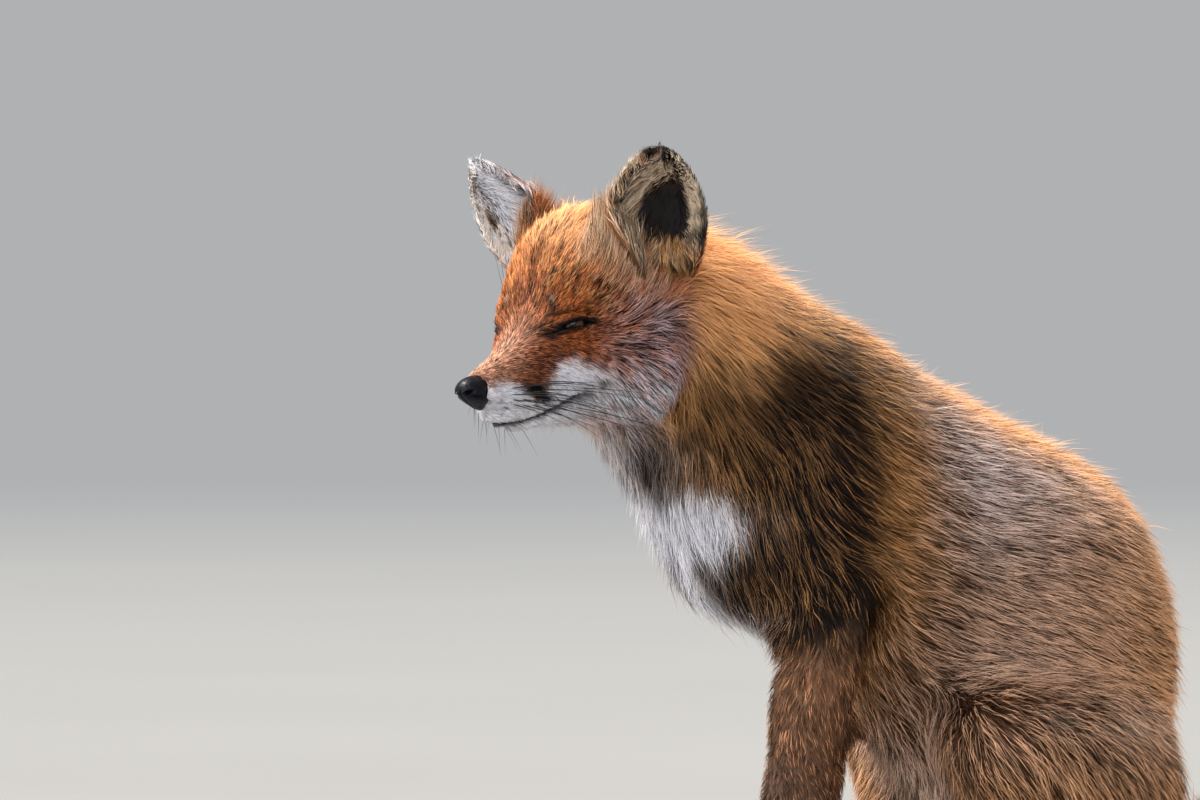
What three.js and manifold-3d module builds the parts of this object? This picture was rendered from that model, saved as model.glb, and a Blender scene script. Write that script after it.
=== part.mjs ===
// A life-size red fox sitting on its haunches, its head turned a little to its left.
// Millimetres, +Z up. The fox faces -Y and its left side is +X. Every surface is the
// outer surface of the coat. Each piece of flesh is a smooth field of rounded forms,
// meshed by casting rays from an axis inside it, and neighbours are parted by thin cuts.
import * as THREE from "three";
import { mergeVertices } from "three/addons/utils/BufferGeometryUtils.js";
import Module from "manifold-3d";

const wasm = await Module();
wasm.setup();

// Driving dimensions of the whole animal.
const GAP = 0.35; // slit between neighbouring pieces
const NOSE_AT = [50, -260, 372]; // middle of the nose leather
const HEAD_TURN = 17; // degrees that the head looks to the fox's left
const EYE_RADIUS = 9;
const EYE_AT = [22, 73.5, 40.5]; // head coordinates: outward, behind the nose, above it
const LID_OPENING = [13, 14, 3.4]; // half its length, depth and height
const LEFT_FORELEG_X = 40;
const RIGHT_FORELEG_X = -30;
const RIGHT_FORELEG_BACK = 62; // the right forefoot stands this much further back
const RIGHT_KNEE_BACK = 26;
// Ears: base and tip in head coordinates, the way the cup faces, half its width, and the
// share of that width it has at its root.
const LEFT_EAR = { base: [44, 121, 69], tip: [57, 109, 147], facing: [0.82, 0.57], half: 30, root: 0.8 };
const RIGHT_EAR = { base: [-35, 126, 71], tip: [-66, 93, 141], facing: [-0.2, 0.98], half: 27, root: 0.6 };
const EAR_WALL = { root: 4.6, tip: 2.2 };
const EAR_GRID = 7; // rows and columns of each side of the cup
// Foreleg, measured back from and above the spot where the paw is set down.
const ELBOW = { back: 14, up: 250, radius: 34 };
const FOREARM = { back: 0, up: 188, radius: 26.5 };
const WRIST = { back: -13, up: 120, radius: 21.5 };
const PASTERN = { back: -22, up: 52, radius: 18.5 };
const PAW = { back: -36, up: 14, radii: [20, 26, 16] };
// Hind leg: to the side, rearward, up.
const KNEE = [72, 122, 156];
const HAUNCH = [50, 206, 116];
const HOCK = [64, 238, 25];
const HIND_PAW = [66, 118, 14];
const CLAW_LENGTH = 13;
const CLAW_RADIUS = 2.6;
const CLAW_DROP = 3; // how far the curve of a claw brings its tip down
const CLAW_LEAN = THREE.MathUtils.degToRad(14);
const TOE_ARC = 0.32; // how far the outer toes stand back, as a share of their spacing
const FORE_TOES = { spread: 10.4, ahead: 18, radius: 10.5 };
const HIND_TOES = { spread: 10, ahead: 22, radius: 10 };
const TAIL_CUTS = [0.33, 0.66]; // shares of the tail's length where its pieces part

const COLOURS = {
  coat: 0xa8562a,
  chest: 0xd9d2c8,
  stocking: 0x3a2a25,
  ear: 0x6a4a38,
  tailTip: 0xe8e2d8,
  horn: 0x2a2522,
  leather: 0x14151a,
  eye: 0x6b3f16,
};

// ---- Fields: each is a function of a point, negative inside ----

const dot = (a, b) => a[0] * b[0] + a[1] * b[1] + a[2] * b[2];
const minus = (a, b) => [a[0] - b[0], a[1] - b[1], a[2] - b[2]];
const plus = (a, b, k = 1) => [a[0] + k * b[0], a[1] + k * b[1], a[2] + k * b[2]];
const unit = (a) => plus([0, 0, 0], a, 1 / Math.hypot(...a));

// A round cone: a sphere of radius ra at a, growing evenly to one of radius rb at b.
function limb(a, ra, b, rb) {
  const along = minus(b, a);
  const span = dot(along, along);
  return (p) => {
    const t = Math.min(1, Math.max(0, dot(minus(p, a), along) / span));
    return Math.hypot(...minus(p, plus(a, along, t))) - (ra + (rb - ra) * t);
  };
}

// An egg with its three radii along the given axes.
function egg(centre, radii, axes = [[1, 0, 0], [0, 1, 0], [0, 0, 1]]) {
  const smallest = Math.min(...radii);
  return (p) => {
    const q = minus(p, centre);
    const scaled = axes.map((axis, i) => dot(q, axis) / radii[i]);
    return (Math.hypot(...scaled) - 1) * smallest;
  };
}

// The field made narrower from side to side by a factor.
const slimmed = (factor, field) => (p) => field([p[0] * factor, p[1], p[2]]);

// Fields joined with fillets about as wide as softness.
function joined(softness, ...fields) {
  return (p) => fields.map((f) => f(p)).reduce((a, b) => {
    const h = Math.max(softness - Math.abs(a - b), 0) / softness;
    return Math.min(a, b) - (h * h * softness) / 4;
  });
}

// ---- Solids ----

function solidOf(geometry) {
  const bare = geometry.clone();
  bare.deleteAttribute("normal");
  bare.deleteAttribute("uv");
  const merged = mergeVertices(bare, 1e-4);
  return new wasm.Manifold(new wasm.Mesh({
    numProp: 3,
    vertProperties: new Float32Array(merged.attributes.position.array),
    triVerts: new Uint32Array(merged.index.array),
  }));
}

// How far from centre the field's surface lies along direction, moved out by grown.
function reach(field, centre, direction, grown) {
  const STEP = 2.5;
  let far = STEP;
  while (field(plus(centre, direction, far)) < grown) far += STEP;
  let near = far - STEP;
  for (let i = 0; i < 18; i++) {
    const middle = (near + far) / 2;
    if (field(plus(centre, direction, middle)) < grown) near = middle;
    else far = middle;
  }
  return near;
}

// A closed skin over a field: rings of rays round an axis, with a fan of rays at each end.
function cast(field, axisPoints, side, { rings, sides, ends = [5, 5], grown = 0 }) {
  const curve = new THREE.CatmullRomCurve3(axisPoints.map((p) => new THREE.Vector3(...p)));
  const levels = [];
  const startFan = ends[0];
  const endFan = ends[1];
  for (let j = 0; j < startFan; j++) levels.push([0, (-Math.PI / 2) * (1 - (j + 1) / (startFan + 1))]);
  for (let i = 0; i <= rings; i++) levels.push([i / rings, 0]);
  for (let j = 0; j < endFan; j++) levels.push([1, (Math.PI / 2) * ((j + 1) / (endFan + 1))]);
  const hit = (t, lean, turn) => {
    const centre = curve.getPointAt(t).toArray();
    const ahead = curve.getTangentAt(t);
    const across = new THREE.Vector3(...side);
    across.addScaledVector(ahead, -ahead.dot(across)).normalize();
    const up = new THREE.Vector3().crossVectors(ahead, across);
    const direction = new THREE.Vector3()
      .addScaledVector(across, Math.cos(turn) * Math.cos(lean))
      .addScaledVector(up, Math.sin(turn) * Math.cos(lean))
      .addScaledVector(ahead, Math.sin(lean))
      .toArray();
    return plus(centre, direction, reach(field, centre, direction, grown));
  };
  const positions = [...hit(0, -Math.PI / 2, 0), ...hit(1, Math.PI / 2, 0)];
  for (const [t, lean] of levels)
    for (let k = 0; k < sides; k++) positions.push(...hit(t, lean, (2 * Math.PI * k) / sides));
  const index = [];
  const at = (level, k) => 2 + level * sides + (k % sides);
  const last = levels.length - 1;
  for (let k = 0; k < sides; k++) {
    index.push(0, at(0, k + 1), at(0, k), 1, at(last, k), at(last, k + 1));
    for (let level = 0; level < last; level++) {
      const corners = [at(level, k), at(level, k + 1), at(level + 1, k + 1), at(level + 1, k)];
      index.push(corners[0], corners[1], corners[2], corners[0], corners[2], corners[3]);
    }
  }
  const geometry = new THREE.BufferGeometry();
  geometry.setAttribute("position", new THREE.Float32BufferAttribute(positions, 3));
  geometry.setIndex(index);
  return solidOf(geometry);
}

const BIG = 2000;

// A block that fills the side of a plane that its normal points to.
function halfSpace(point, normal) {
  const block = new THREE.BoxGeometry(BIG, BIG, BIG);
  block.translate(0, 0, BIG / 2);
  const turn = new THREE.Quaternion().setFromUnitVectors(
    new THREE.Vector3(0, 0, 1), new THREE.Vector3(...unit(normal)));
  block.applyQuaternion(turn);
  block.translate(...point);
  return solidOf(block);
}

const floor = halfSpace([0, 0, 0], [0, 0, -1]);
const onFloor = (solid) => solid.subtract(floor);

// What lies beyond a plane, or before it, clear of it by half a slit.
const beyond = (solid, point, normal) =>
  solid.subtract(halfSpace(plus(point, unit(normal), GAP / 2), plus([0, 0, 0], normal, -1)));
const before = (solid, point, normal) =>
  solid.subtract(halfSpace(plus(point, unit(normal), -GAP / 2), normal));

// ---- Head ----

const turn = THREE.MathUtils.degToRad(HEAD_TURN);
const BACK = [-Math.sin(turn), Math.cos(turn), 0];
const LEFT = [Math.cos(turn), Math.sin(turn), 0];
const UP = [0, 0, 1];
const HEAD_AXES = [LEFT, BACK, UP];

// Head coordinates: to the fox's left, behind the nose, above it.
const onHead = (left, behind, above) =>
  plus(plus(plus(NOSE_AT, LEFT, left), BACK, behind), UP, above);
const headEgg = (left, behind, above, radii) => egg(onHead(left, behind, above), radii, HEAD_AXES);
const headLimb = (a, ra, b, rb) => limb(onHead(...a), ra, onHead(...b), rb);
const bothSides = (make) => [make(1), make(-1)];

const muzzle = joined(8,
  headLimb([0, 8, 1], 9.8, [0, 62, 19], 18.5),
  ...bothSides((way) => headLimb([way * 4.5, 18, -4.5], 8.8, [way * 11, 66, 0], 17)),
  headLimb([0, 27, -12.5], 7.5, [0, 90, 0], 15),
);
const cranium = joined(16,
  headEgg(0, 111, 55, [46, 50, 58]),
  ...bothSides((way) => headEgg(way * 14, 84, 46, [16, 24, 20])),
  headEgg(0, 102, 18, [43, 50, 40]),
);
const ruff = joined(16, ...bothSides((way) => headEgg(way * 36, 122, 12, [30, 30, 36])));
const neckTop = slimmed(1.16, limb([0, -92, 411], 69, [0, 12, 344], 84));
const headField = joined(14, joined(18, muzzle, cranium), ruff);

const HEAD_CUT = { at: onHead(0, 138, 30), facing: unit(plus(BACK, UP, -0.25)) };
const headAxis = [onHead(0, 16, -2), onHead(0, 60, 8), onHead(0, 105, 24), onHead(0, 142, 28)];
const headOptions = { rings: 18, sides: 28, ends: [4, 3] };
const headAndNape = joined(16, headField, neckTop);
const headWhole = cast(headAndNape, headAxis, LEFT, headOptions);

const eyeAxes = (way) => {
  const outward = unit(plus(plus([0, 0, 0], LEFT, 0.86 * way), BACK, -0.5));
  const along = unit(plus(plus(BACK, LEFT, 0.58 * way), UP, 0.22));
  return [along, outward];
};
const eyeCentre = (way) => onHead(way * EYE_AT[0], EYE_AT[1], EYE_AT[2]);

function ball(radius, centre, across = 12, down = 8) {
  return solidOf(new THREE.SphereGeometry(radius, across, down).translate(...centre));
}

// The opening between the half-closed lids, in front of the eyeball.
function lidOpening(way) {
  const [along, outward] = eyeAxes(way);
  const shape = new THREE.SphereGeometry(1, 10, 6);
  const x = new THREE.Vector3(...along);
  const y = new THREE.Vector3(...outward);
  const z = new THREE.Vector3().crossVectors(y, x);
  const [long, deep, tall] = LID_OPENING;
  const basis = new THREE.Matrix4().makeBasis(
    x.multiplyScalar(long), y.multiplyScalar(deep), z.multiplyScalar(tall));
  shape.applyMatrix4(basis);
  if (basis.determinant() < 0) shape.index.array.reverse();
  shape.translate(...plus(eyeCentre(way), outward, 8));
  return solidOf(shape);
}

// ---- Nose ----

const noseField = joined(4,
  headEgg(0, 6.5, 1.5, [9.4, 11, 8.8]),
  headEgg(0, 4.5, -5, [4.8, 6, 5.4]),
);
const noseOptions = { rings: 3, sides: 12, ends: [3, 2] };
const noseAxis = [onHead(0, 1, 1), onHead(0, 8, 1)];
const nostril = (way) => ball(2.3, onHead(way * 6, -2.3, 0.5), 8, 6);
const nose = cast(noseField, noseAxis, LEFT, noseOptions).subtract(nostril(1)).subtract(nostril(-1));
const noseBed = cast(noseField, noseAxis, LEFT, { ...noseOptions, grown: GAP });

// ---- Ears ----

// A leaf-shaped cup that rises from its base to its tip and opens along facing.
function earSolid({ base, tip, facing, half: halfWidth, root }) {
  const ROWS = EAR_GRID;
  const COLUMNS = EAR_GRID;
  const from = onHead(...base);
  const to = onHead(...tip);
  const rise = unit(minus(to, from));
  const world = plus(plus([0, 0, 0], LEFT, facing[0]), BACK, -facing[1]);
  const open = unit(plus(world, rise, -dot(world, rise)));
  const broad = new THREE.Vector3(...rise).cross(new THREE.Vector3(...open)).toArray();
  const length = Math.hypot(...minus(to, from));
  const wall = (v) => EAR_WALL.root + (EAR_WALL.tip - EAR_WALL.root) * v;
  const point = (u, v, inner) => {
    const half = halfWidth * Math.sqrt(1 - v ** 4) * (root + (1.1 - root) * 4 * v * (1 - v));
    const swing = u * (1.62 - 0.5 * v);
    const depth = half * (0.92 - 0.42 * v);
    const thin = inner ? wall(v) : 0;
    const w = Math.max(half - thin, 0.4);
    const d = Math.max(depth - thin, 0.2);
    const rimLift = 5 * v * v;
    const up = plus(from, rise, v * (length - (inner ? EAR_WALL.tip : 0)));
    const out = plus(up, broad, w * Math.sin(swing));
    return plus(out, open, -d * Math.cos(swing) + rimLift + depth * 0.4);
  };
  const positions = [];
  for (const inner of [0, 1])
    for (let i = 0; i <= ROWS; i++)
      for (let k = 0; k <= COLUMNS; k++)
        positions.push(...point((2 * k) / COLUMNS - 1, 0.985 * Math.pow(i / ROWS, 0.9), inner));
  const at = (inner, i, k) => (inner * (ROWS + 1) + i) * (COLUMNS + 1) + k;
  const index = [];
  const quad = (a, b, c, d) => index.push(a, b, c, a, c, d);
  for (let i = 0; i < ROWS; i++)
    for (let k = 0; k < COLUMNS; k++) {
      quad(at(0, i, k), at(0, i + 1, k), at(0, i + 1, k + 1), at(0, i, k + 1));
      quad(at(1, i, k), at(1, i, k + 1), at(1, i + 1, k + 1), at(1, i + 1, k));
    }
  for (let i = 0; i < ROWS; i++) {
    quad(at(0, i, 0), at(1, i, 0), at(1, i + 1, 0), at(0, i + 1, 0));
    quad(at(0, i, COLUMNS), at(0, i + 1, COLUMNS), at(1, i + 1, COLUMNS), at(1, i, COLUMNS));
  }
  for (let k = 0; k < COLUMNS; k++) {
    quad(at(0, 0, k), at(0, 0, k + 1), at(1, 0, k + 1), at(1, 0, k));
    quad(at(0, ROWS, k), at(1, ROWS, k), at(1, ROWS, k + 1), at(0, ROWS, k + 1));
  }
  const geometry = new THREE.BufferGeometry();
  geometry.setAttribute("position", new THREE.Float32BufferAttribute(positions, 3));
  geometry.setIndex(index);
  let solid = solidOf(geometry);
  if (solid.volume() < 0) {
    geometry.setIndex(index.reverse());
    solid = solidOf(geometry);
  }
  return solid;
}

// ---- Neck and trunk ----

const throat = limb([4, -94, 366], 42, [0, -24, 280], 52);
const chest = slimmed(1.32, limb([0, 30, 322], 90, [0, 190, 235], 108));
const sternum = limb([0, -14, 283], 54, [0, 66, 262], 50);
const shoulder = (x, y) => limb([x * 0.75, y + 25, 335], 44, [x, y - 2, 262], 40);
const pelvis = slimmed(1.16, limb([0, 220, 190], 86, [0, 226, 71], 76));
const belly = limb([0, 90, 240], 66, [0, 200, 120], 74);

const bodyField = joined(26,
  joined(30, chest, pelvis, belly),
  joined(24, neckTop, throat, sternum),
  shoulder(36, 0),
  shoulder(-32, RIGHT_FORELEG_BACK * 0.5),
);

const NECK_CUT = { at: [0, 2, 350], facing: unit([0, 0.82, -0.42]) };
const neckAxis = [onHead(-2, 118, 22), [2, -88, 384], [0, -30, 335], [0, 30, 305]];
const trunkAxis = [[0, -30, 316], [0, 60, 296], [0, 130, 250], [0, 185, 190]];
const trunkOptions = { rings: 11, sides: 24, ends: [2, 7] };
const neckAndHead = joined(16, bodyField, headField);
const neckOptions = { rings: 9, sides: 24, ends: [2, 1] };
const ACROSS = [1, 0, 0];
const castNeck = (grown) => cast(neckAndHead, neckAxis, ACROSS, { ...neckOptions, grown });
const castTrunk = (grown) => cast(bodyField, trunkAxis, ACROSS, { ...trunkOptions, grown });
const neckBehindHead = (grown) => beyond(castNeck(grown), HEAD_CUT.at, HEAD_CUT.facing);
const trunkGrown = castTrunk(GAP * 1.35);

const neckSolid = before(neckBehindHead(0), NECK_CUT.at, NECK_CUT.facing);
const trunkSolid = beyond(onFloor(castTrunk(0)), NECK_CUT.at, NECK_CUT.facing);

// ---- Legs ----

// Four toes in an arc, ahead of the middle of the paw at (x, y).
function toeFields(x, y, { spread, ahead, radius }) {
  return [-1.5, -0.5, 0.5, 1.5].map((n) => egg(
    [x + n * spread, y - ahead + n * n * spread * TOE_ARC, radius * 0.82],
    [radius * 0.78, radius * 1.5, radius]));
}

// A foreleg set down at (x, y), parted above the paw.
function foreleg(x, y) {
  const joint = ({ back, up }) => [x, y + back, up];
  const elbow = plus(joint(ELBOW), [Math.sign(x) * 4, 0, 0]);
  const sole = [x, y - 28, 22];
  const bones = joined(10,
    limb(elbow, ELBOW.radius, joint(FOREARM), FOREARM.radius),
    limb(joint(FOREARM), FOREARM.radius, joint(WRIST), WRIST.radius),
    limb(joint(WRIST), WRIST.radius, joint(PASTERN), PASTERN.radius),
    limb(joint(PASTERN), PASTERN.radius, sole, 19),
  );
  const paw = joined(7,
    egg(joint(PAW), PAW.radii),
    limb(joint(PASTERN), 17, [x, y - 30, 20], 18),
    ...toeFields(x, y + PAW.back, FORE_TOES),
  );
  const shankAxis = [[x, y + 10, 238], joint(FOREARM), joint(WRIST), [x, y - 21, 58], [x, y - 25, 30]];
  const shank = cast(bones, shankAxis, ACROSS, { rings: 7, sides: 12, ends: [2, 1] });
  const pawAxis = [[x, y - 26, 17], [x, y - 47, 13]];
  const castPaw = (grown) => cast(paw, pawAxis, ACROSS, { rings: 4, sides: 13, ends: [1, 3], grown });
  const leg = onFloor(shank.add(castPaw(0)));
  const ankle = [[x, y - 24, 46], [0, 0.15, 1]];
  return { leg: beyond(leg, ...ankle), paw: before(leg, ...ankle), pawGrown: castPaw(GAP) };
}

// A hind leg on the side way, its knee and paw drawn back by kneeBack and a share of it.
function hindLeg(way, kneeBack) {
  const onSide = ([x, y, z], back = 0) => [way * x, y + back, z];
  const knee = onSide(KNEE, kneeBack);
  const hock = onSide(HOCK);
  const paw = onSide(HIND_PAW, kneeBack * 0.6);
  const thighField = joined(24,
    egg(onSide(HAUNCH), [50, 78, 86]),
    limb([way * 58, 170, 130], 62, knee, 42),
  );
  const thighAxis = [
    [way * 54, 220, 116],
    [way * 60, 172 + kneeBack / 2, 128],
    plus(knee, [way * -4, 14, -10])];
  const castThigh = (grown) =>
    cast(thighField, thighAxis, ACROSS, { rings: 5, sides: 16, ends: [3, 4], grown });
  const instep = plus(paw, [0, 78, 3]);
  const pad = plus(paw, [0, 34, 1]);
  const footField = joined(8,
    limb(hock, 17, instep, 13),
    limb(instep, 13, pad, 14.5),
    egg(plus(paw, [0, 14, 0]), [20, 30, 16]),
    ...toeFields(paw[0], paw[1] + 8, HIND_TOES),
  );
  const footAxis = [plus(hock, [0, -4, -1]), instep, pad, plus(paw, [0, 6, -1])];
  const castFoot = (grown) =>
    cast(footField, footAxis, ACROSS, { rings: 6, sides: 12, ends: [2, 3], grown });
  return {
    thigh: onFloor(castThigh(0)),
    thighGrown: castThigh(GAP),
    foot: onFloor(castFoot(0)),
    footGrown: castFoot(GAP),
    toes: plus(paw, [0, 8, 0]),
  };
}

// Four curved claws that point ahead and down from the toes of a paw at (x, y).
function claws([x, y], { spread, ahead, radius }, paw) {
  return [-1.5, -0.5, 0.5, 1.5].map((n) => {
    const cone = new THREE.ConeGeometry(CLAW_RADIUS, CLAW_LENGTH, 5, 2);
    const corner = cone.attributes.position;
    for (let i = 0; i < corner.count; i++) {
      const along = corner.getY(i) / CLAW_LENGTH + 0.5;
      corner.setZ(i, corner.getZ(i) + CLAW_DROP * along * along);
    }
    cone.rotateX(Math.PI + CLAW_LEAN);
    const toeAhead = ahead - n * n * spread * TOE_ARC + radius * 1.75;
    cone.translate(x + n * spread, y - toeAhead, radius * 0.74);
    return solidOf(cone).subtract(paw);
  });
}

// ---- Tail ----

const TAIL_ROUTE = [
  [0, 268, 70], [-8, 326, 50], [-40, 382, 47], [-98, 420, 48],
  [-166, 424, 48], [-228, 394, 45], [-272, 340, 36], [-290, 300, 24]];
const TAIL_RADII = [30, 38, 45, 49.5, 50, 46.5, 36, 22];

const tailLimbs = TAIL_ROUTE.slice(1).map((p, i) =>
  limb(TAIL_ROUTE[i], TAIL_RADII[i], p, TAIL_RADII[i + 1]));
const tailOptions = { rings: 15, sides: 13, ends: [1, 4] };
const tailWhole = onFloor(cast(joined(14, ...tailLimbs), TAIL_ROUTE, UP, tailOptions));

const tailCurve = new THREE.CatmullRomCurve3(TAIL_ROUTE.map((p) => new THREE.Vector3(...p)));
const [tailCutA, tailCutB] = TAIL_CUTS.map((t) =>
  [tailCurve.getPointAt(t).toArray(), tailCurve.getTangentAt(t).toArray()]);

// ---- Assembly ----

const fox = new THREE.Group();

function add(name, solid, colour, roughness = 0.9) {
  const data = solid.getMesh();
  const geometry = new THREE.BufferGeometry();
  geometry.setAttribute("position", new THREE.BufferAttribute(data.vertProperties, 3));
  geometry.setIndex(new THREE.BufferAttribute(data.triVerts, 1));
  const mesh = new THREE.Mesh(geometry, new THREE.MeshStandardMaterial({ color: colour, roughness }));
  mesh.name = name;
  fox.add(mesh);
}

const legs = [
  { side: "left", way: 1, ear: LEFT_EAR, x: LEFT_FORELEG_X, y: 0, kneeBack: 0 },
  {
    side: "right", way: -1, ear: RIGHT_EAR,
    x: RIGHT_FORELEG_X, y: RIGHT_FORELEG_BACK, kneeBack: RIGHT_KNEE_BACK,
  },
];

const headGrown = cast(headAndNape, headAxis, LEFT, { ...headOptions, grown: GAP })
  .add(neckBehindHead(GAP));
let head = before(headWhole, HEAD_CUT.at, HEAD_CUT.facing).subtract(noseBed);
for (const { side, way, ear } of legs) {
  head = head.subtract(ball(EYE_RADIUS + GAP, eyeCentre(way))).subtract(lidOpening(way));
  add(side + "_eye", ball(EYE_RADIUS, eyeCentre(way)), COLOURS.eye, 0.1);
  add(side + "_ear", earSolid(ear).subtract(headGrown), COLOURS.ear);
}
add("head", head, COLOURS.coat);
add("nose", nose, COLOURS.leather, 0.3);
add("neck", neckSolid, COLOURS.chest);
add("trunk", trunkSolid, COLOURS.coat);

function addClaws(name, toes, sizes, paw) {
  claws(toes, sizes, paw).forEach((solid, i) => add(name + (i + 1), solid, COLOURS.horn, 0.4));
}

let body = trunkGrown;
for (const { side, way, x, y, kneeBack } of legs) {
  const fore = foreleg(x, y);
  add(side + "_foreleg", fore.leg.subtract(trunkGrown), COLOURS.stocking);
  add(side + "_forepaw", fore.paw, COLOURS.stocking);
  addClaws(side + "_foreclaw_", [x, y + PAW.back], FORE_TOES, fore.pawGrown);
  const hind = hindLeg(way, kneeBack);
  add(side + "_thigh", hind.thigh.subtract(trunkGrown), COLOURS.coat);
  add(side + "_hindfoot", hind.foot.subtract(trunkGrown).subtract(hind.thighGrown), COLOURS.stocking);
  addClaws(side + "_hindclaw_", hind.toes, HIND_TOES, hind.footGrown);
  body = body.add(hind.thighGrown);
}

const tail = tailWhole.subtract(body);
add("tail_base", before(tail, ...tailCutA), COLOURS.coat);
add("tail_middle", before(beyond(tail, ...tailCutA), ...tailCutB), COLOURS.coat);
add("tail_tip", beyond(tail, ...tailCutB), COLOURS.tailTip);

// The origin is the middle of the fox's footprint, on the floor.
const extent = new THREE.Box3().setFromObject(fox);
const middle = extent.getCenter(new THREE.Vector3());
fox.position.set(-middle.x, -middle.y, 0);

export default fox;
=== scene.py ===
import math
from typing import Callable, NamedTuple

import bmesh
import bpy
import numpy as np
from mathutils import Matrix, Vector, bvhtree, kdtree


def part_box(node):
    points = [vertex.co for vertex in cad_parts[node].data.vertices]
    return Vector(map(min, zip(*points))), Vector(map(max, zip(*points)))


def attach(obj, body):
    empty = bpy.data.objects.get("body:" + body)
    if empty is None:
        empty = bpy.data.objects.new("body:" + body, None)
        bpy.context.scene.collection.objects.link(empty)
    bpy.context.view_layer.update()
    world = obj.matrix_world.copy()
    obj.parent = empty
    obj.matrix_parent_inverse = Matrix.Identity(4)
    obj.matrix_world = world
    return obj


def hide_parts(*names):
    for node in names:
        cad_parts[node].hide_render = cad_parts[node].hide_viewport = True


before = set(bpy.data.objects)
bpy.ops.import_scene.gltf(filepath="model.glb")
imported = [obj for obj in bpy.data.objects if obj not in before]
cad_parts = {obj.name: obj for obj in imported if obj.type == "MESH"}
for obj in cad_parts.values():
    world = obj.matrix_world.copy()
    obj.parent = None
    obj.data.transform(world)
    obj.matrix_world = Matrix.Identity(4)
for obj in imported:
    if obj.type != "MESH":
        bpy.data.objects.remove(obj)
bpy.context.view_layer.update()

bl_info = {
    "name": "Sitting Fox Maker",
    "version": (1, 0, 0),
    "blender": (4, 5, 0),
    "location": "View3D > Sidebar > Fox",
    "description": "Gives a sitting red fox its skin, coat, face, eyes and claws",
    "category": "Add Mesh",
}

MM = 0.001
SEED = 11


# ---------------------------------------------------------------- landmarks

def unit(v):
    """Each vector of an array, made one long."""
    return v / np.maximum(np.linalg.norm(v, axis=-1, keepdims=True), 1e-12)


def dot(a, b):
    """Products of matching rows, as a column."""
    return np.einsum("ij,ij->i", a, b)[:, None]


def centre(node):
    """The middle of a node's box."""
    low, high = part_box(node)
    return (np.array(low) + np.array(high)) / 2


SIDES = {"left": 1, "right": -1}
EYE = {side: centre(side + "_eye") for side in SIDES}
EYE_AT = np.array((22, 73.5, 40.5)) * MM   # outward, behind the nose, above it
EYE_RADIUS = (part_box("left_eye")[1].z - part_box("left_eye")[0].z) / 2
UP = np.array((0.0, 0.0, 1.0))
LEFT = unit(EYE["left"] - EYE["right"])
BACK = np.cross(UP, LEFT)
HEAD_AXES = np.array((LEFT, BACK, UP))
NOSE = (EYE["left"] + EYE["right"]) / 2 - BACK * EYE_AT[1] - UP * EYE_AT[2]
# the ground between the forefeet, from which places on the body are told
BODY = NOSE - np.array((50, -260, 372)) * MM


def on_head(outward, behind, above):
    """A place on the head, in millimetres to the left, behind and above the nose."""
    return NOSE + (np.array((outward, behind, above)) * MM) @ HEAD_AXES


def head_place(points):
    """Left, behind and above the nose, in millimetres."""
    return ((points - NOSE) @ HEAD_AXES.T).T / MM


def body_place(points):
    """Left, rearward and up from the ground between the forefeet, in millimetres."""
    return (points - BODY).T / MM


def soft(x, edge, width):
    """Rises from 0 to 1 as x passes edge."""
    return 1 / (1 + np.exp(-np.clip((x - edge) / width, -30, 30)))


def bump(x, middle, width):
    """A bell of height 1."""
    return np.exp(-((x - middle) / width) ** 2)


def lattice_noise(points, size, seed=0):
    """Smooth noise between -1 and 1, with lumps of about size metres."""
    scaled = points / size + seed * 17.13
    cell = np.floor(scaled).astype(np.int64)
    part = scaled - cell
    part = part * part * (3 - 2 * part)
    total = np.zeros(len(points))
    for corner in range(8):
        step = np.array([(corner >> axis) & 1 for axis in range(3)])
        key = (cell + step) @ np.array((73856093, 19349663, 83492791)) + seed * 7919
        key = (key ^ (key >> 13)) * 1274126177 & 0x7FFFFFFF
        value = (key ^ (key >> 16)) % 20011 / 10005.5 - 1
        total += value * np.prod(np.where(step, part, 1 - part), axis=1)
    return total


TAIL_ROUTE = np.array((
    (0, 268, 70), (-8, 326, 50), (-40, 382, 47), (-98, 420, 48), (-166, 424, 48),
    (-228, 394, 45), (-272, 340, 36), (-290, 300, 24))) * MM + BODY


def along_tail(points):
    """Share of the tail's length, nearest place on its route, and heading there."""
    legs = TAIL_ROUTE[1:] - TAIL_ROUTE[:-1]
    lengths = np.linalg.norm(legs, axis=1)
    starts = np.concatenate(((0,), np.cumsum(lengths)[:-1]))
    best = np.full(len(points), 1e9)
    share = np.zeros(len(points))
    place = np.zeros((len(points), 3))
    heading = np.zeros((len(points), 3))
    for start, leg, length, run in zip(TAIL_ROUTE, legs, lengths, starts):
        t = np.clip((points - start) @ leg / length ** 2, 0, 1)
        near = start + t[:, None] * leg
        far = np.linalg.norm(points - near, axis=1)
        closer = far < best
        best[closer] = far[closer]
        share[closer] = (run + t[closer] * length) / lengths.sum()
        place[closer] = near[closer]
        heading[closer] = leg / length
    return share, place, heading


# ------------------------------------------------------------------ markings

def srgb(*tone):
    """A colour from 0 to 255, as linear light."""
    return (np.array(tone, float) / 255) ** 2.2


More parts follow.
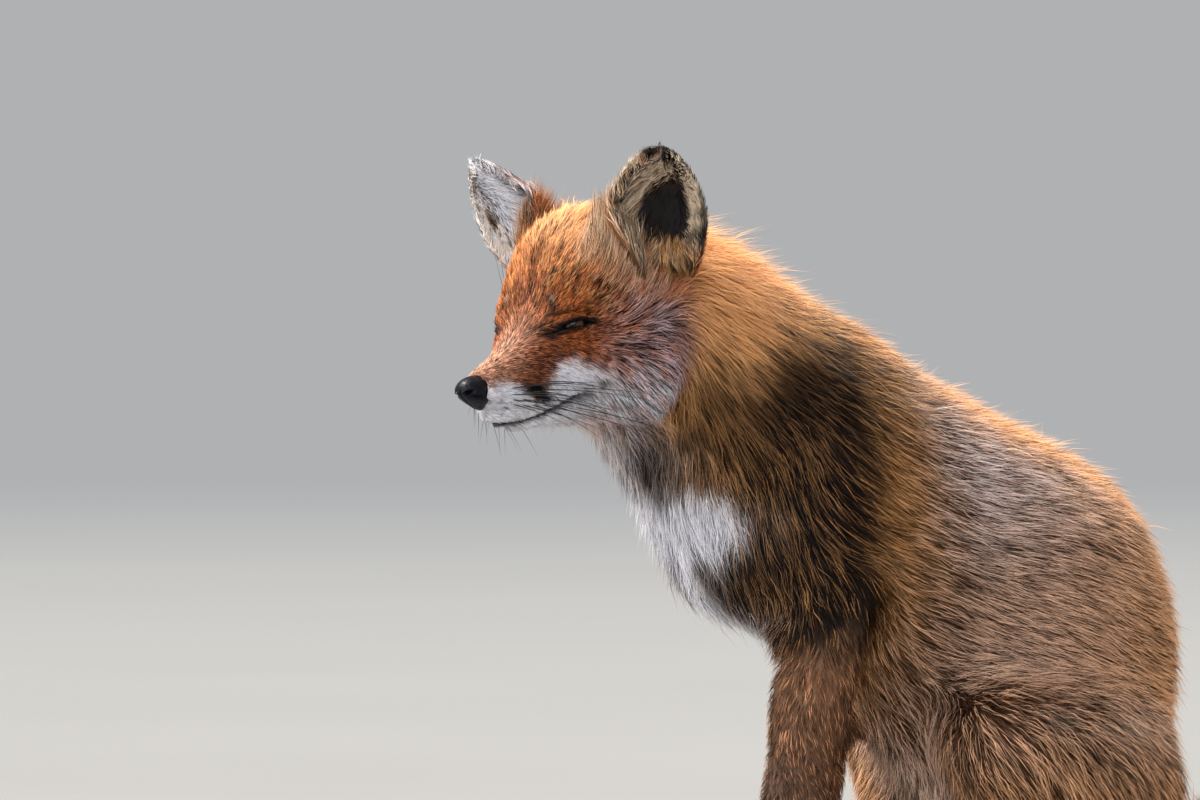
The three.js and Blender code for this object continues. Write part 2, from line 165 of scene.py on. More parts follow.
FUR = {
    "crown": srgb(168, 92, 40),
    "sunlit": srgb(238, 176, 120),
    "muzzle": srgb(126, 70, 46),
    # paler tone of the painted highlight along the top of the muzzle
    "bridge_highlight": srgb(200, 152, 124),
    "eye_patch": srgb(130, 66, 28),
    "cheek": srgb(64, 54, 54),
    "white": srgb(236, 234, 240),
    "grey": srgb(92, 82, 76),
    "nape": srgb(240, 176, 116),
    "back": srgb(200, 128, 80),
    "shoulder": srgb(30, 18, 12),
    "golden": srgb(158, 106, 50),
    "flank": srgb(112, 76, 58),
    "cream": srgb(190, 176, 156),
    "leg": srgb(158, 110, 78),
    "stocking": srgb(48, 36, 34),
    "black": srgb(16, 13, 13),
    "ear_back": srgb(50, 33, 26),
    "ear_hair": srgb(120, 80, 52),
    "ear_cream": srgb(240, 214, 182),
    "ear_skin": srgb(22, 7, 5),
    "tail": srgb(128, 80, 46),
    "tan_tip": srgb(186, 132, 82),
    "pink_tip": srgb(236, 192, 164),
    "lilac_tip": srgb(188, 190, 208),
}

MOUTH = np.array(((3, -15), (9, -16), (22, -17.6), (39, -16), (48, -12), (57, -6.2), (65, -0.9), (72, 1), (76, 1.2)))


def mouth_height(behind):
    """Height of the mouth line above the nose, in millimetres."""
    return np.interp(behind, MOUTH[:, 0], MOUTH[:, 1])


SLIT_AHEAD = 4.5   # how far the middle of the slit lies ahead of the eye's, in millimetres


def lid_axes(side):
    """Directions round an eye: along the slit towards the ear, above it, and out of the head."""
    way = SIDES[side]
    outward = unit(LEFT * 0.86 * way - BACK * 0.5)
    along = unit(BACK + LEFT * 0.58 * way + UP * 0.22)
    over = np.cross(along, outward) * way
    return np.array((along, over if over[2] > 0 else -over, outward))


def lid_place(points, side):
    """Places told along those directions, in millimetres from the middle of the slit."""
    return ((points - EYE[side]) @ lid_axes(side).T).T / MM + np.array(((SLIT_AHEAD,), (0,), (0,)))


def mix(colour, other, amount):
    """Blends rows of colours."""
    return colour + (np.asarray(other) - colour) * np.clip(amount, 0, 1)[:, None]


class Pelt:
    """Colours at the root and the tip of the hair, with a row for each place."""

    def __init__(self, root, tip_gain):
        self.root = root
        self.tip = root * tip_gain

    def lay(self, where, root=None, tip=None):
        """Lays a marking over the hair: for each end a tone, and if need be its share and its brightness."""
        for end, layer in (("root", root), ("tip", tip)):
            if layer:
                tone, share, bright = (*layer, 1, 1)[:3]
                setattr(self, end, mix(getattr(self, end), FUR[tone] * bright, where * share))

    def lay_both(self, where, tone, share=1):
        """Lays one tone over both ends of the hair."""
        self.lay(where, (tone, share), (tone, share))


def plain(tone, like):
    """One tone for each of as many places as like has."""
    return np.tile(FUR[tone], (len(like), 1))


def streaks_of(axes, seed):
    """Noise stretched along the hair, from places already scaled."""
    return lattice_noise(np.stack(axes, 1), 1, seed)


# spots on the muzzle and cheek: how far behind the nose and above it, size and depth
SPOTS = ((39, 2, 3.4, 1.4), (45, -1.5, 3.0, 1.3), (81, 8, 2.2, 1), (98, 28, 2.4, 0.6))
# the upper edge of the white on the cheek: behind the nose, above it
WHITE_TOP = ((0, 16, 27, 34, 39, 44, 49, 56, 64, 88, 110), (4, 6, 4, 1, -4, -4, 6, 18, 21, 15, 8))


def head_pelt(points, rough, fleck):
    """The red mask, grey cheeks, white lips, whisker dots and the dark rims of the eyes."""
    l, b, z = head_place(points)
    side = np.abs(l)
    head = Pelt(mix(plain("crown", l), FUR["sunlit"], soft(z, 84, 9) * 0.9), 1.3)
    above_lip = z - mouth_height(b)
    head.lay(soft(62 - b, 0, 7) * soft(above_lip + rough * 0.3, 6, 1.5), ("muzzle",), ("muzzle", 1, 1.2))
    # painted highlight: a pale strip along the top of the muzzle, where light falls on it
    bridge_highlight = soft(11 - side + rough * 0.4, 0, 3) * soft(50 - b, 0, 8) * soft(b, 8, 3)
    head.lay(bridge_highlight, ("bridge_highlight", 0.6), ("bridge_highlight", 0.8))
    side_shadow = bump(b - 39 - (z - 6) * 0.95, 0, 8) * soft(z, 2, 3) * soft(34 - z, 0, 4) * soft(side, 12, 3)
    head.lay(side_shadow, ("shoulder", 0.8), ("eye_patch", 0.8, 0.6))
    around_eye = bump(np.hypot(b - 74, (z - 34) * 1.25), 0, 22) * soft(side, 16, 4)
    head.lay(around_eye, ("eye_patch", 0.9), ("eye_patch", 0.9, 1.35))
    cheek = soft(b + rough, 88, 5) * soft(60 - z - rough - (b - 90) * 0.12, 4, 6) * soft(side, 24, 5)
    head.lay(cheek, ("cheek", 0.97), ("lilac_tip", 0.5 + 0.4 * fleck))
    low_cheek = soft(14 - z + rough, 0, 4) * soft(b, 60, 5)
    gaps = soft(streaks_of((l / 3, b / 3, z / 12), 9), 0.2, 0.1) * soft(b, 80, 6)
    head.lay(low_cheek, ("grey", 0.85, 0.7))
    head.lay(low_cheek * (0.65 + 0.6 * fleck) * (1 - 0.8 * gaps), tip=("white",))
    white = soft(np.interp(b, *WHITE_TOP) - z + rough * 0.5, 0, 1.4)
    white = white * (1 - 0.75 * soft(b + rough, 88, 7)) * (1 - 0.5 * gaps)
    head.lay(white, ("white", 0.94), ("white", 1, 1.12))
    for along, above, size, depth in SPOTS:
        spot = bump(np.hypot((b - along) * 0.5, z - above + rough * 0.3), 0, size) * soft(side, 10, 2)
        head.lay_both(np.minimum(spot * depth, 0.97), "black")
    rows = np.minimum.reduce([np.hypot((b - 12 - k * 5.6) * 0.8, above_lip - 6 - 3.4 * j)
                              for k in range(6) for j in range(3)])
    head.lay_both(bump(rows, 0, 0.75) * (b < 46) * 0.7, "black")
    lips = bump(above_lip, -0.3, 1.7) * soft(79 - b, 0, 2) * soft(b, 2, 1)
    corner = bump(np.hypot(np.maximum(np.abs(b - 58) - 9, 0) * 0.5, above_lip - 0.5), 0, 3.2) * soft(side, 12, 3)
    head.lay_both(np.maximum(lips, corner * 0.9), "black")
    streaks = soft(z, 44, 6) * soft(streaks_of((l / 2.2, b / 11, z / 11), 5), 0.15, 0.08)
    head.lay(streaks, ("shoulder", 0.8), ("eye_patch", 0.6))
    parting = streaks_of((l / 3, (b + z) / 12, (z - b * 0.35) / 1.7), 12)
    parted = soft(parting, 0.1, 0.12) * soft(b, 84, 6) * soft(64 - z, 0, 5) * soft(side, 22, 4)
    head.lay(parted, ("shoulder", 0.7), ("cheek", 0.5))
    # painted shade under the jaw: dark roots and dim grey tips on the throat
    throat_shade = soft(-z, 17, 4) * soft(b, 100, 6)
    head.lay(throat_shade, ("shoulder", 0.9), ("grey", 0.9, 0.5))
    head.lay(soft(z, 46, 6) * soft(fleck, 0.2, 0.1) * 0.6, tip=("tan_tip", 1, 1.1))
    # the fluff before the ears, with golden roots 2.2 times as bright on the far (right) side as painted light
    head.lay(ear_fluff(points)[0], ("golden", 0.6, (1 + 1.2 * (l < 0))[:, None]), ("ear_cream", 0.9))
    for name in SIDES:
        off = np.linalg.norm(points - on_head(*EARS[name][0]), axis=1) / MM
        ear_foot = bump(off, 8, 26) * soft(z, 58, 6) * soft(fleck, -0.2, 0.2)
        head.lay(ear_foot, ("ear_hair", 0.7), ("ear_cream", 0.8))
        a, over, _ = lid_place(points, name)
        near = bump(l - SIDES[name] * 27, 0, 24)
        rim = bump(np.maximum(np.abs(a) - 14, 0), 0, 2.6) * np.minimum(2.2 * bump(over - lid_line(a), 0.3, 2.5), 1)
        tear = np.minimum(2 * bump(np.hypot((a + 17 + (over + 3) * 0.4) * 0.6, (over + 2) * 0.8), 0, 2.7), 1)
        brow = bump(np.hypot((a + 11 - over * 0.12) * 0.9, (over - 11) * 0.42), 0, 2.6) * 0.9
        brow = np.maximum(brow, 0.55 * bump(np.hypot(a * 0.35 + 1, over - 7.5 + 0.02 * a * a), 0, 1.7))
        head.lay_both(np.maximum.reduce([rim, tear, brow]) * near, "black")
        pale = bump(np.hypot((a + 8) * 1.1, (over - 15) * 0.6), 0, 1.1) * near
        head.lay(pale, ("cream", 0.6), ("cream", 0.7))
    return head


# along the body and up from the ground: where the dark sides end below the back
UNDER_RIDGE = ((-110, -84, -62, -48, -36, 0, 20, 60, 120, 200, 250, 300),
               (384, 391, 399, 411, 422, 420, 408, 388, 346, 312, 282, 224))
# up from the ground and round the chest: where the white bib ends
BIB_EDGE = ((260, 272, 282, 290, 300, 312, 320, 327, 335, 342, 350, 362),
            (-70, -63, -53, -38, -30, -31, -40, -54, -70, -78, -83, -90))


CHIN = 368   # height of the chin, above which the neck has no white


def body_pelt(points, rough):
    """The golden nape, dark shoulders, greyish flanks, red back and white bib."""
    x, y, h = body_place(points)
    body = Pelt(plain("nape", y), 1.5)
    low_side = soft(np.interp(y, *UNDER_RIDGE) - h + rough * 1.4, 0, 8)
    body.lay(low_side * soft(y + rough * 1.5, -112, 12), ("shoulder",), ("tan_tip", 1, 0.36))
    neck_band = bump(y + rough, -96, 30) * soft(h, 318, 14) * soft(412 - h + rough, 0, 7)
    body.lay(neck_band, ("golden", 0.85, 0.35), ("tan_tip", 0.85, 0.3))
    behind_neck = bump(np.hypot((y + 40) * 0.6, h - 384), 0, 26) * low_side
    body.lay(behind_neck, tip=("shoulder", 0.7, 1.2))
    golden = soft(y + rough, 22, 6) * low_side
    body.lay(golden, ("golden",), ("tan_tip", 0.6))
    cloud = lattice_noise(points, 0.05, 14) * 12
    flank = soft(y + rough + cloud, 62, 14) * low_side
    body.lay(flank, ("flank",), ("pink_tip", 1, 0.7))
    # painted shade on the lower flank behind the shoulder: darker roots and dimmer tips
    hollow = bump(np.hypot((y - 90) * 0.55, h - 262 + cloud), 0, 40) * flank
    body.lay(hollow, ("shoulder", 0.5), ("tan_tip", 0.5, 0.5))
    rump = soft(y + cloud, 190, 20) * flank
    body.lay(rump, ("golden", 0.6, 0.8), ("tan_tip", 0.7, 1.2))
    upper = flank * soft(h - 0.3 * (y - 100) + cloud, 292, 16) * soft(y, 70, 12)
    body.lay(upper, ("flank", 0.8, 2.4), ("white", 0.6))
    ridge = (1 - low_side) * soft(y, 0, 25)
    body.lay(ridge, ("back", 0.7), ("nape", 0.8, 1.2))

    # the chest: reach grows from its middle line towards the shoulder
    reach = 0.574 * np.abs(x) + 0.819 * y
    middle = soft(9 - np.abs(x + 2) + rough * 0.5, 0, 3) * soft(h, 226, 4) * soft(-20 - y, 0, 6)
    bib = soft(np.interp(h, *BIB_EDGE) - reach + rough * 2.2, 0, 6)
    bib = np.maximum(bib, middle) * (y < 30) * soft(CHIN - h, 0, 5)
    # painted shadow under the chin: dark roots and dim grey tips, and less white in the bib's roots there
    chin_shadow = np.minimum(1.4 * bump(np.hypot((reach + 88) * 0.9, h - 342), 0, 22), 1) * (1 - 0.8 * middle)
    body.lay(bib, ("white", 0.92 - 0.85 * chin_shadow), ("white", 1, 1.12))
    body.lay(chin_shadow, ("shoulder", 0.9), ("grey", 0.9, 0.4))
    frost = bump(np.hypot(reach + 70, (h - 332) * 0.9), 0, 16)
    body.lay(frost, tip=("grey", 0.7, 1.3))
    # painted shade below the bib, on the point of the shoulder: black roots and dim grey tips
    shade_below_bib = bump(np.hypot((reach + 42) * 0.9, (h - 270) * 0.9), 0, 20) * (1 - middle)
    body.lay(shade_below_bib, ("black", 0.9), ("grey", 0.9, 0.35))
    low_frost = bump(np.hypot((reach + 30) * 0.5, h - 240), 0, 12)
    body.lay(low_frost, ("grey", 0.8, 0.5), ("white", 0.75, 0.9))
    belly = soft(150 - h - (y - 60) * 0.4 - np.abs(x) * 0.5, 0, 12) * soft(y, 10, 10) * soft(230 - y, 0, 12)
    body.lay_both(belly, "cream", 0.8)
    return body.root, body.tip


def leg_colours(points, rough):
    """Brown legs with dark stockings."""
    _, y, h = body_place(points)
    leg = plain("leg", h)
    for tone, amount in (("stocking", soft(128 - h + rough * 2 - (y + 12) * 1.3, 0, 20) * 0.88),
                         ("stocking", soft(48 - h + rough, 0, 8) * 0.8), ("shoulder", soft(h + rough * 1.5, 222, 8))):
        leg = mix(leg, FUR[tone], amount)
    return leg, mix(leg * 1.55, FUR["tan_tip"] * 0.7, soft(h, 222, 8))


def thigh_colours(points, rough):
    """Thighs like the flank, warmer lower down and pale on the hock."""
    h = body_place(points)[2]
    thigh = mix(plain("flank", h), FUR["golden"], 0.1 + 0.35 * soft(120 - h + rough, 0, 25))
    thigh = mix(thigh, FUR["cream"], soft(46 - h, 0, 14) * 0.5)
    return thigh, mix(plain("tan_tip", h), FUR["pink_tip"], soft(h, 150, 25) * 0.7)


def tail_colours(points, rough):
    """A brown brush with dark clouds and a white tip."""
    share = along_tail(points)[0]
    brush = mix(plain("tail", share), FUR["shoulder"], soft(lattice_noise(points, 0.02, 8), 0.1, 0.2) * 0.5)
    white_tip = soft(share + rough * 0.004, 0.84, 0.018)
    brush = mix(brush, FUR["white"] * 0.72, white_tip)
    return brush, mix(brush * 0.55, FUR["white"] * 0.8, white_tip)


def ear_colours(points, region, rough, fleck):
    """Both sides of the ears; lateral runs from -1 at the inner edge to 1 at the outer edge."""
    lateral, rise = region["lateral"], region["rise"]
    # 1 on the far (right) ear, whose inside is painted paler and whiter as painted light shining through it; some of
    # its rims and spots differ too
    far_ear_backlit = (head_place(points)[0] < 0) * 1.0
    black_edge = np.maximum(soft(rise + rough * 0.006 - 0.03 * lateral * far_ear_backlit, 0.9 + 0.08 * far_ear_backlit, 0.02),
                            soft(lateral + rough * 0.004, 0.97, 0.012) * bump(rise, 0.35, 0.3) * (1 - far_ear_backlit))
    front_edge = soft(-lateral, 0.75, 0.05) * soft(0.9 - rise, 0, 0.03) * (1 - far_ear_backlit)
    ear = plain("ear_back", rise)
    for tone, amount in (("crown", soft(0.34 - rise + rough * 0.012, 0, 0.04)),
                         ("crown", soft(-lateral, 0.45, 0.12) * soft(0.82 - rise, 0, 0.08) * (0.3 + 0.5 * far_ear_backlit)),
                         ("ear_hair", front_edge), ("black", black_edge)):
        ear = mix(ear, FUR[tone], amount)
    ear_tip = mix(ear * 1.3, FUR["ear_hair"], front_edge)
    ear_tip = mix(ear_tip, FUR["ear_cream"], front_edge * soft(rise, 0.42, 0.06))

    cavity = ear_cavity(lateral, rise)
    pale = soft(lateral, 0.76 - 0.14 * far_ear_backlit, 0.03) * soft(rise, 0.22, 0.05)
    notch = bump(np.hypot((lateral - 0.88) * 2, (rise - 0.26) * 3), 0, 0.3)
    spot = bump(np.hypot((lateral - 0.74) * 1.3, (rise - 0.52) * 1.5), 0, 0.2) * far_ear_backlit
    tuft = soft(0.2 - rise + rough * 0.01, 0, 0.03) * soft(0.6 - lateral, 0, 0.1) * soft(lateral, -0.05, 0.06)
    root_fur = soft(0.16 - rise + rough * 0.012, 0, 0.025) * soft(lateral, 0.1, 0.1)
    inner = plain("ear_hair", rise)
    for tone, bright, amount in (
            ("white", 1, far_ear_backlit * (0.6 + 0.4 * fleck)),
            ("black", 1, far_ear_backlit * soft(-lateral, 0.86, 0.03) * soft(rise, 0.3, 0.04) * 0.8),
            ("ear_skin", 1, cavity * (1 - 0.75 * far_ear_backlit)),
            ("ear_cream", 1, pale),
            ("golden", 0.6, spot),
            ("black", 1, notch * 0.9 * (1 - far_ear_backlit)),
            ("golden", 0.8, tuft * 0.9),
            ("golden", 1, root_fur * (1 - far_ear_backlit)),
            ("black", 1, black_edge)):
        inner = mix(inner, FUR[tone] * bright, amount)
    bright = (1 - black_edge) * (1 - cavity * (1 - far_ear_backlit))
    bright = bright * np.clip(0.75 + 0.7 * fleck + 0.3 * pale + 0.25 * far_ear_backlit, 0, 1)
    bright = bright * (1 - tuft * 0.4) * (1 - notch) * (1 - 0.6 * root_fur) * (1 - spot)
    inner_tip = mix(inner, mix(plain("ear_cream", rise), FUR["white"] * 1.3, far_ear_backlit), bright)
    return (ear, ear_tip), (inner, inner_tip)


def markings(points, region):
    """Colours of root and tip at each place; region tells how much of each kind of coat a place has."""
    rough = lattice_noise(points, 0.016, 1) * 5 + lattice_noise(points, 0.006, 2) * 3
    fleck = lattice_noise(points, 0.004, 6)
    head = head_pelt(points, rough, fleck)
    ear, ear_inside = ear_colours(points, region, rough, fleck)
    kinds = {"head": (head.root, head.tip), "body": body_pelt(points, rough), "leg": leg_colours(points, rough),
             "thigh": thigh_colours(points, rough), "tail": tail_colours(points, rough), "ear": ear,
             "ear_inside": ear_inside}
    root_colour = np.zeros((len(points), 3))
    tip_colour = np.zeros((len(points), 3))
    for name, (low, high) in kinds.items():
        share_of = region[name][:, None]
        root_colour += low * share_of
        tip_colour += high * share_of
    return root_colour, tip_colour


def ear_cavity(lateral, rise):
    """The bare dark hollow of an ear."""
    front = np.interp(rise, (0.05, 0.25, 0.45, 0.74), (-0.75, -0.5, -0.34, 0.12))
    tuft = soft(0.17 - rise, 0, 0.03) * soft(lateral, -0.05, 0.05)
    return soft(lateral - front, 0, 0.05) * soft(0.74 - lateral, 0, 0.03) * soft(0.78 - rise, 0, 0.04) * (1 - tuft)


def lid_line(along):
    """Height of the slit between the lids above the eye's middle, in millimetres."""
    return 0.4 - 0.011 * (along - 3) ** 2


# --------------------------------------------------------------------- skin

KIND_OF = {"head": "head", "neck": "body", "trunk": "body"}
KIND_OF.update({"tail_" + part: "tail" for part in ("base", "middle", "tip")})
KIND_OF.update({side + "_" + part: "thigh" if part == "thigh" else "leg"
                for side in SIDES for part in ("foreleg", "forepaw", "thigh", "hindfoot")})
FLESH = list(KIND_OF)
KINDS = ["head", "body", "leg", "thigh", "tail", "ear", "ear_inside"]


def read(items, name, width=1, kind=np.float32):
    """One value or one row of values for each item of a mesh, as an array."""
    values = np.empty(len(items) * width, kind)
    items.foreach_get(name, values)
    return values.reshape(-1, width) if width > 1 else values


class Surface:
    """A mesh as arrays: points, faces as loops, and values spread over its points."""

    def __init__(self, mesh):
        self.points = read(mesh.vertices, "co", 3, float)
        first, second = read(mesh.edges, "vertices", 2, np.int64).T
        self.ends = np.concatenate((first, second))
        self.others = np.concatenate((second, first))
        self.valence = np.maximum(np.bincount(self.ends, minlength=len(self.points)), 1)

    def average(self, values):
        """The mean of each point's neighbours."""
        flat = values.reshape(len(values), -1)
        out = np.empty_like(flat, dtype=float)
        for column in range(flat.shape[1]):
            out[:, column] = np.bincount(self.ends, flat[self.others, column], len(flat)) / self.valence
        return out.reshape(values.shape)

    def spread(self, values, rounds):
        """Values blurred along the surface."""
        for _ in range(rounds):
            values = (values + self.average(values)) / 2
        return values

    def smooth(self, rounds, pull=0.6, push=-0.62):
        """Takes facets out of the points without shrinking the form."""
        for _ in range(rounds):
            for amount in (pull, push):
                self.points = self.points + amount * (self.average(self.points) - self.points)


def mesh_from(name, points, faces):
    """A new mesh from arrays of points and equal-sided faces."""
    mesh = bpy.data.meshes.new(name)
    faces = np.asarray(faces)
    mesh.vertices.add(len(points))
    mesh.vertices.foreach_set("co", np.asarray(points, np.float32).ravel())
    mesh.loops.add(faces.size)
    mesh.loops.foreach_set("vertex_index", faces.ravel().astype(np.int32))
    mesh.polygons.add(len(faces))
    mesh.polygons.foreach_set("loop_start", np.arange(0, faces.size, faces.shape[1], dtype=np.int32))
    mesh.polygons.foreach_set("use_smooth", np.ones(len(faces), bool))
    mesh.update(calc_edges=True)
    return mesh


def paint(mesh, name, colours):
    rgba = np.concatenate((np.clip(colours, 0, 1), np.ones((len(colours), 1))), 1)
    mesh.attributes.new(name, "FLOAT_COLOR", "POINT").data.foreach_set("color", rgba.astype(np.float32).ravel())


def put(name, data):
    """A new object in the scene."""
    thing = bpy.data.objects.new(name, data)
    bpy.context.scene.collection.objects.link(thing)
    return thing


def link(name, mesh, material):
    """A piece of the fox from a mesh, riding on its body."""
    piece = put(name, mesh)
    mesh.materials.append(material)
    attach(piece, "root")
    return piece


VOXEL = 2.4 * MM


def joined_flesh():
    """The flesh nodes with the eyes, as one remeshed surface, and the kind of coat at each point."""
    points, faces, kinds = [], [], []
    offset = 0
    for node in FLESH + ["left_eye", "right_eye"]:
        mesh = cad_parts[node].data
        points += [v.co[:] for v in mesh.vertices]
        for polygon in mesh.polygons:
            faces.append([i + offset for i in polygon.vertices])
            kinds.append(node)
        offset = len(points)
    raw = bpy.data.meshes.new("flesh")
    raw.from_pydata(points, [], faces)
    holder = put("flesh", raw)
    remesh = holder.modifiers.new("remesh", "REMESH")
    remesh.mode = "VOXEL"
    remesh.voxel_size = VOXEL
    shell = bpy.data.meshes.new_from_object(holder.evaluated_get(bpy.context.evaluated_depsgraph_get()))
    tree = bvhtree.BVHTree.FromPolygons([Vector(p) for p in points], faces)
    nearest = [kinds[tree.find_nearest(v.co)[2]] for v in shell.vertices]
    bpy.data.objects.remove(holder)
    bpy.data.meshes.remove(raw)
    return shell, nearest


def combine(region, values):
    """Mixes a number for each kind of coat by how much of each kind a place is."""
    return sum(region[name] * values[name] for name in values)


def coat_depth(points, region):
    """How far the skin lies under the tips of the coat, in metres."""
    _, b, z = head_place(points)
    _, _, h = body_place(points)
    face = np.interp(b, (0, 20, 60, 85, 105, 140), (0.7, 1.2, 2.0, 4.0, 8, 14))
    face = np.where(z > 60, np.minimum(face, 8), face)
    leg = np.interp(h, (0, 40, 60, 190, 240), (1.6, 2.2, 3.2, 4.2, 9))
    nothing = np.zeros(len(points))
    depth = combine(region, {"head": face, "body": nothing + 16, "leg": leg, "thigh": nothing + 13,
                             "tail": nothing, "ear": nothing + 1, "ear_inside": nothing + 0.6})
    return depth * MM


def refine(mesh, wanted):
    """Splits the faces whose middles the test wants, once."""
    work = bmesh.new()
    work.from_mesh(mesh)
    middles = np.array([f.calc_center_median() for f in work.faces])
    chosen = wanted(middles)
    edges = {e for f, keep in zip(work.faces, chosen) if keep for e in f.edges}
    bmesh.ops.subdivide_edges(work, edges=list(edges), cuts=1, use_grid_fill=True)
    work.to_mesh(mesh)
    work.free()


def eye_distance(points):
    return np.minimum(*(np.linalg.norm(points - EYE[side], axis=1) for side in SIDES)) / MM


def ear_root_distance(points):
    return np.min([np.linalg.norm(points - on_head(*EARS[side][0]), axis=1) for side in SIDES], axis=0) / MM


def near_mouth(points, reach):
    l, b, z = head_place(points)
    return (np.abs(z - mouth_height(b)) < reach) & (b > -4) & (b < 96) & (np.abs(l) < 40)


def mesh_normals(mesh):
    return read(mesh.vertex_normals, "vector", 3).astype(float)


def set_points(mesh, points):
    mesh.vertices.foreach_set("co", points.astype(np.float32).ravel())
    mesh.update()


BODY_AHEAD = np.array((0.0, -1.0, 0.0))
LID_THICKNESS = 1.1
SLIT_HALF = 15


def shape_lids(points):
    """Draws the skin over each eyeball as two lids, and sinks it in the slit between them."""
    for side in SIDES:
        a, over, out = lid_place(points, side)
        radius = EYE_RADIUS / MM + LID_THICKNESS
        lid = np.sqrt(np.maximum(radius ** 2 - (a * 0.72) ** 2 - over ** 2, 0))
        near = (out > 0) & (np.hypot(a, over) < 24)
        weight = np.clip(1.25 - np.hypot(a * 0.72, over) / 11.5, 0, 1)
        raised = np.maximum(out, lid)
        out_new = out + (raised - out) * np.clip(weight * 3, 0, 1)
        # folds above and below the lids
        arch = 1 - (a / 19) ** 2
        out_new -= 1.0 * bump(over, 6.6 * arch, 1.3) * (np.abs(a) < 17)
        out_new += 1.1 * bump(over, 10.5 * arch, 3.0) * (np.abs(a) < 19)
        out_new -= 0.8 * bump(over, -5.6 * arch, 1.4) * (np.abs(a) < 17)
        arc = np.clip(1 - (a / SLIT_HALF) ** 2, 0, 1)
        gap = np.abs(over - lid_line(a))
        half = 1.55 * arc ** 0.7
        inside = soft(half - gap, 0, 0.2) * (np.abs(a) < SLIT_HALF)
        rim = bump(gap - half, 0.7, 0.6) * arc
        out_new = out_new + 0.45 * rim - 5.5 * inside
        points = points + (near * (out_new - out))[:, None] * MM * lid_axes(side)[2]
    return points


def shape_toes(points):
    """Presses grooves between the toes of each paw."""
    for side in SIDES:
        for part, spread in (("forepaw", 10.4), ("hindfoot", 10)):
            low, high = (np.array(corner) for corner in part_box(side + "_" + part))
            across = (points[:, 0] - (low[0] + high[0]) / 2) / MM
            behind = (points[:, 1] - low[1]) / MM
            near = (np.abs(across) < 26) & (points[:, 2] < 0.05) & (behind > -8) & (behind < 34)
            groove = sum(bump(across, step * spread, 1.9) for step in (-1, 0, 1))
            depth = 4.2 * groove * soft(24 - behind, 0, 3) * near
            points = points + BODY_AHEAD * (-depth * soft(14 - behind, 0, 3) * MM)[:, None]
            points = points - UP * (0.8 * depth * soft(points[:, 2] / MM, 9, 2) * MM)[:, None]
    return points


def shape_mouth(points, normals):
    """Presses the line between the lips into the muzzle, between a full upper lip and the jaw below it."""
    l, b, z = head_place(points)
    front = np.interp(z, (-24, -17.5, -14, -10, -4, 2), (30, 21, 18, 15, 8, -20))
    front += np.hypot(l, 3) * 1.1 * np.interp(z, (-10, -3, 3), (1, 0.75, 0))
    back_by = 2 * np.log1p(np.exp(np.clip((front - b) / 2, -30, 30))) * (b < 60) * (z > -40)
    points = points + BACK * (back_by * MM)[:, None]
    b = b + back_by
    run = soft(b, 4, 1.2) * soft(77 - b, 0, 2) * (np.abs(l) < 42)
    gap = z - mouth_height(b)
    push = -2.6 * bump(gap, -0.2, 0.95) + 1.3 * bump(gap, 4.2, 3.2)
    philtrum = bump(l, 0, 0.9) * soft(8 - b, 0, 2) * (z < -4) * (z > -15)
    points = points + normals * ((run * push - 1.0 * philtrum) * MM)[:, None]
    jaw = soft(b, 4, 1.5) * soft(66 - b, 0, 8) * soft(-gap, 1.1, 0.5) * soft(gap, -16, 3)
    wider = np.clip(np.abs(l) / 8, 0, 1) * np.sign(l)
    drop = np.interp(b, (0, 18, 30, 50, 75), (5, 6.4, 6.4, 4.5, 0.5))
    points = points + LEFT * (jaw * wider * 4.2 * MM)[:, None]
    return points - UP * (jaw * drop * soft(-gap, 2.2, 0.8) * MM)[:, None]


# ---------------------------------------------------------------------- ears

# root and tip on the head, the way the cup faces (outward, ahead), half its width, and the share of it at the root
EARS = {"left": ((44, 121, 69), (57, 109, 147), (0.82, 0.57), 30, 0.8),
        "right": ((-35, 126, 71), (-66, 93, 141), (-0.2, 0.98), 27, 0.6)}


def ear_point(side, u, v, inner, inset=0.9):
    """A place on the cup of an ear: u from edge to edge, v from root to tip."""
    base, tip, (outward, ahead), half_width, root = EARS[side]
    start, end = on_head(*base), on_head(*tip)
    rise = unit(end - start)
    facing = LEFT * outward - BACK * ahead
    facing = unit(facing - rise * (facing @ rise))
    broad = np.cross(rise, facing)
    length = np.linalg.norm(end - start) / MM - inset
    half = half_width * (1 - v ** 4) ** 0.5 * (root + (1.1 - root) * 4 * v * (1 - v)) - inset
    swing = u * (1.62 - 0.5 * v)
    depth = half * (0.92 - 0.42 * v)
    wall = (4.6 - 2.4 * v) - inset * 1.6
    # ridges of gristle and the pouch on the outer edge
    ripple = 0.7 * np.sin(u * 9) * np.sin(v * 7) * inner
    tuck = 1 - 0.7 * np.clip(-u * SIDES[side], 0, 1) * np.clip(1 - v / 0.55, 0, 1)
    w = np.maximum((half - wall * inner) * tuck, 0.3)
    d = np.maximum(depth - wall * inner + ripple, 0.15)
    along = rise * (v * (length - 1.5 * inner))[:, None]
    offset = broad * (w * np.sin(swing))[:, None] + facing * (-d * np.cos(swing) + 5 * v * v + depth * 0.4)[:, None]
    return start + (along + offset) * MM, rise, broad


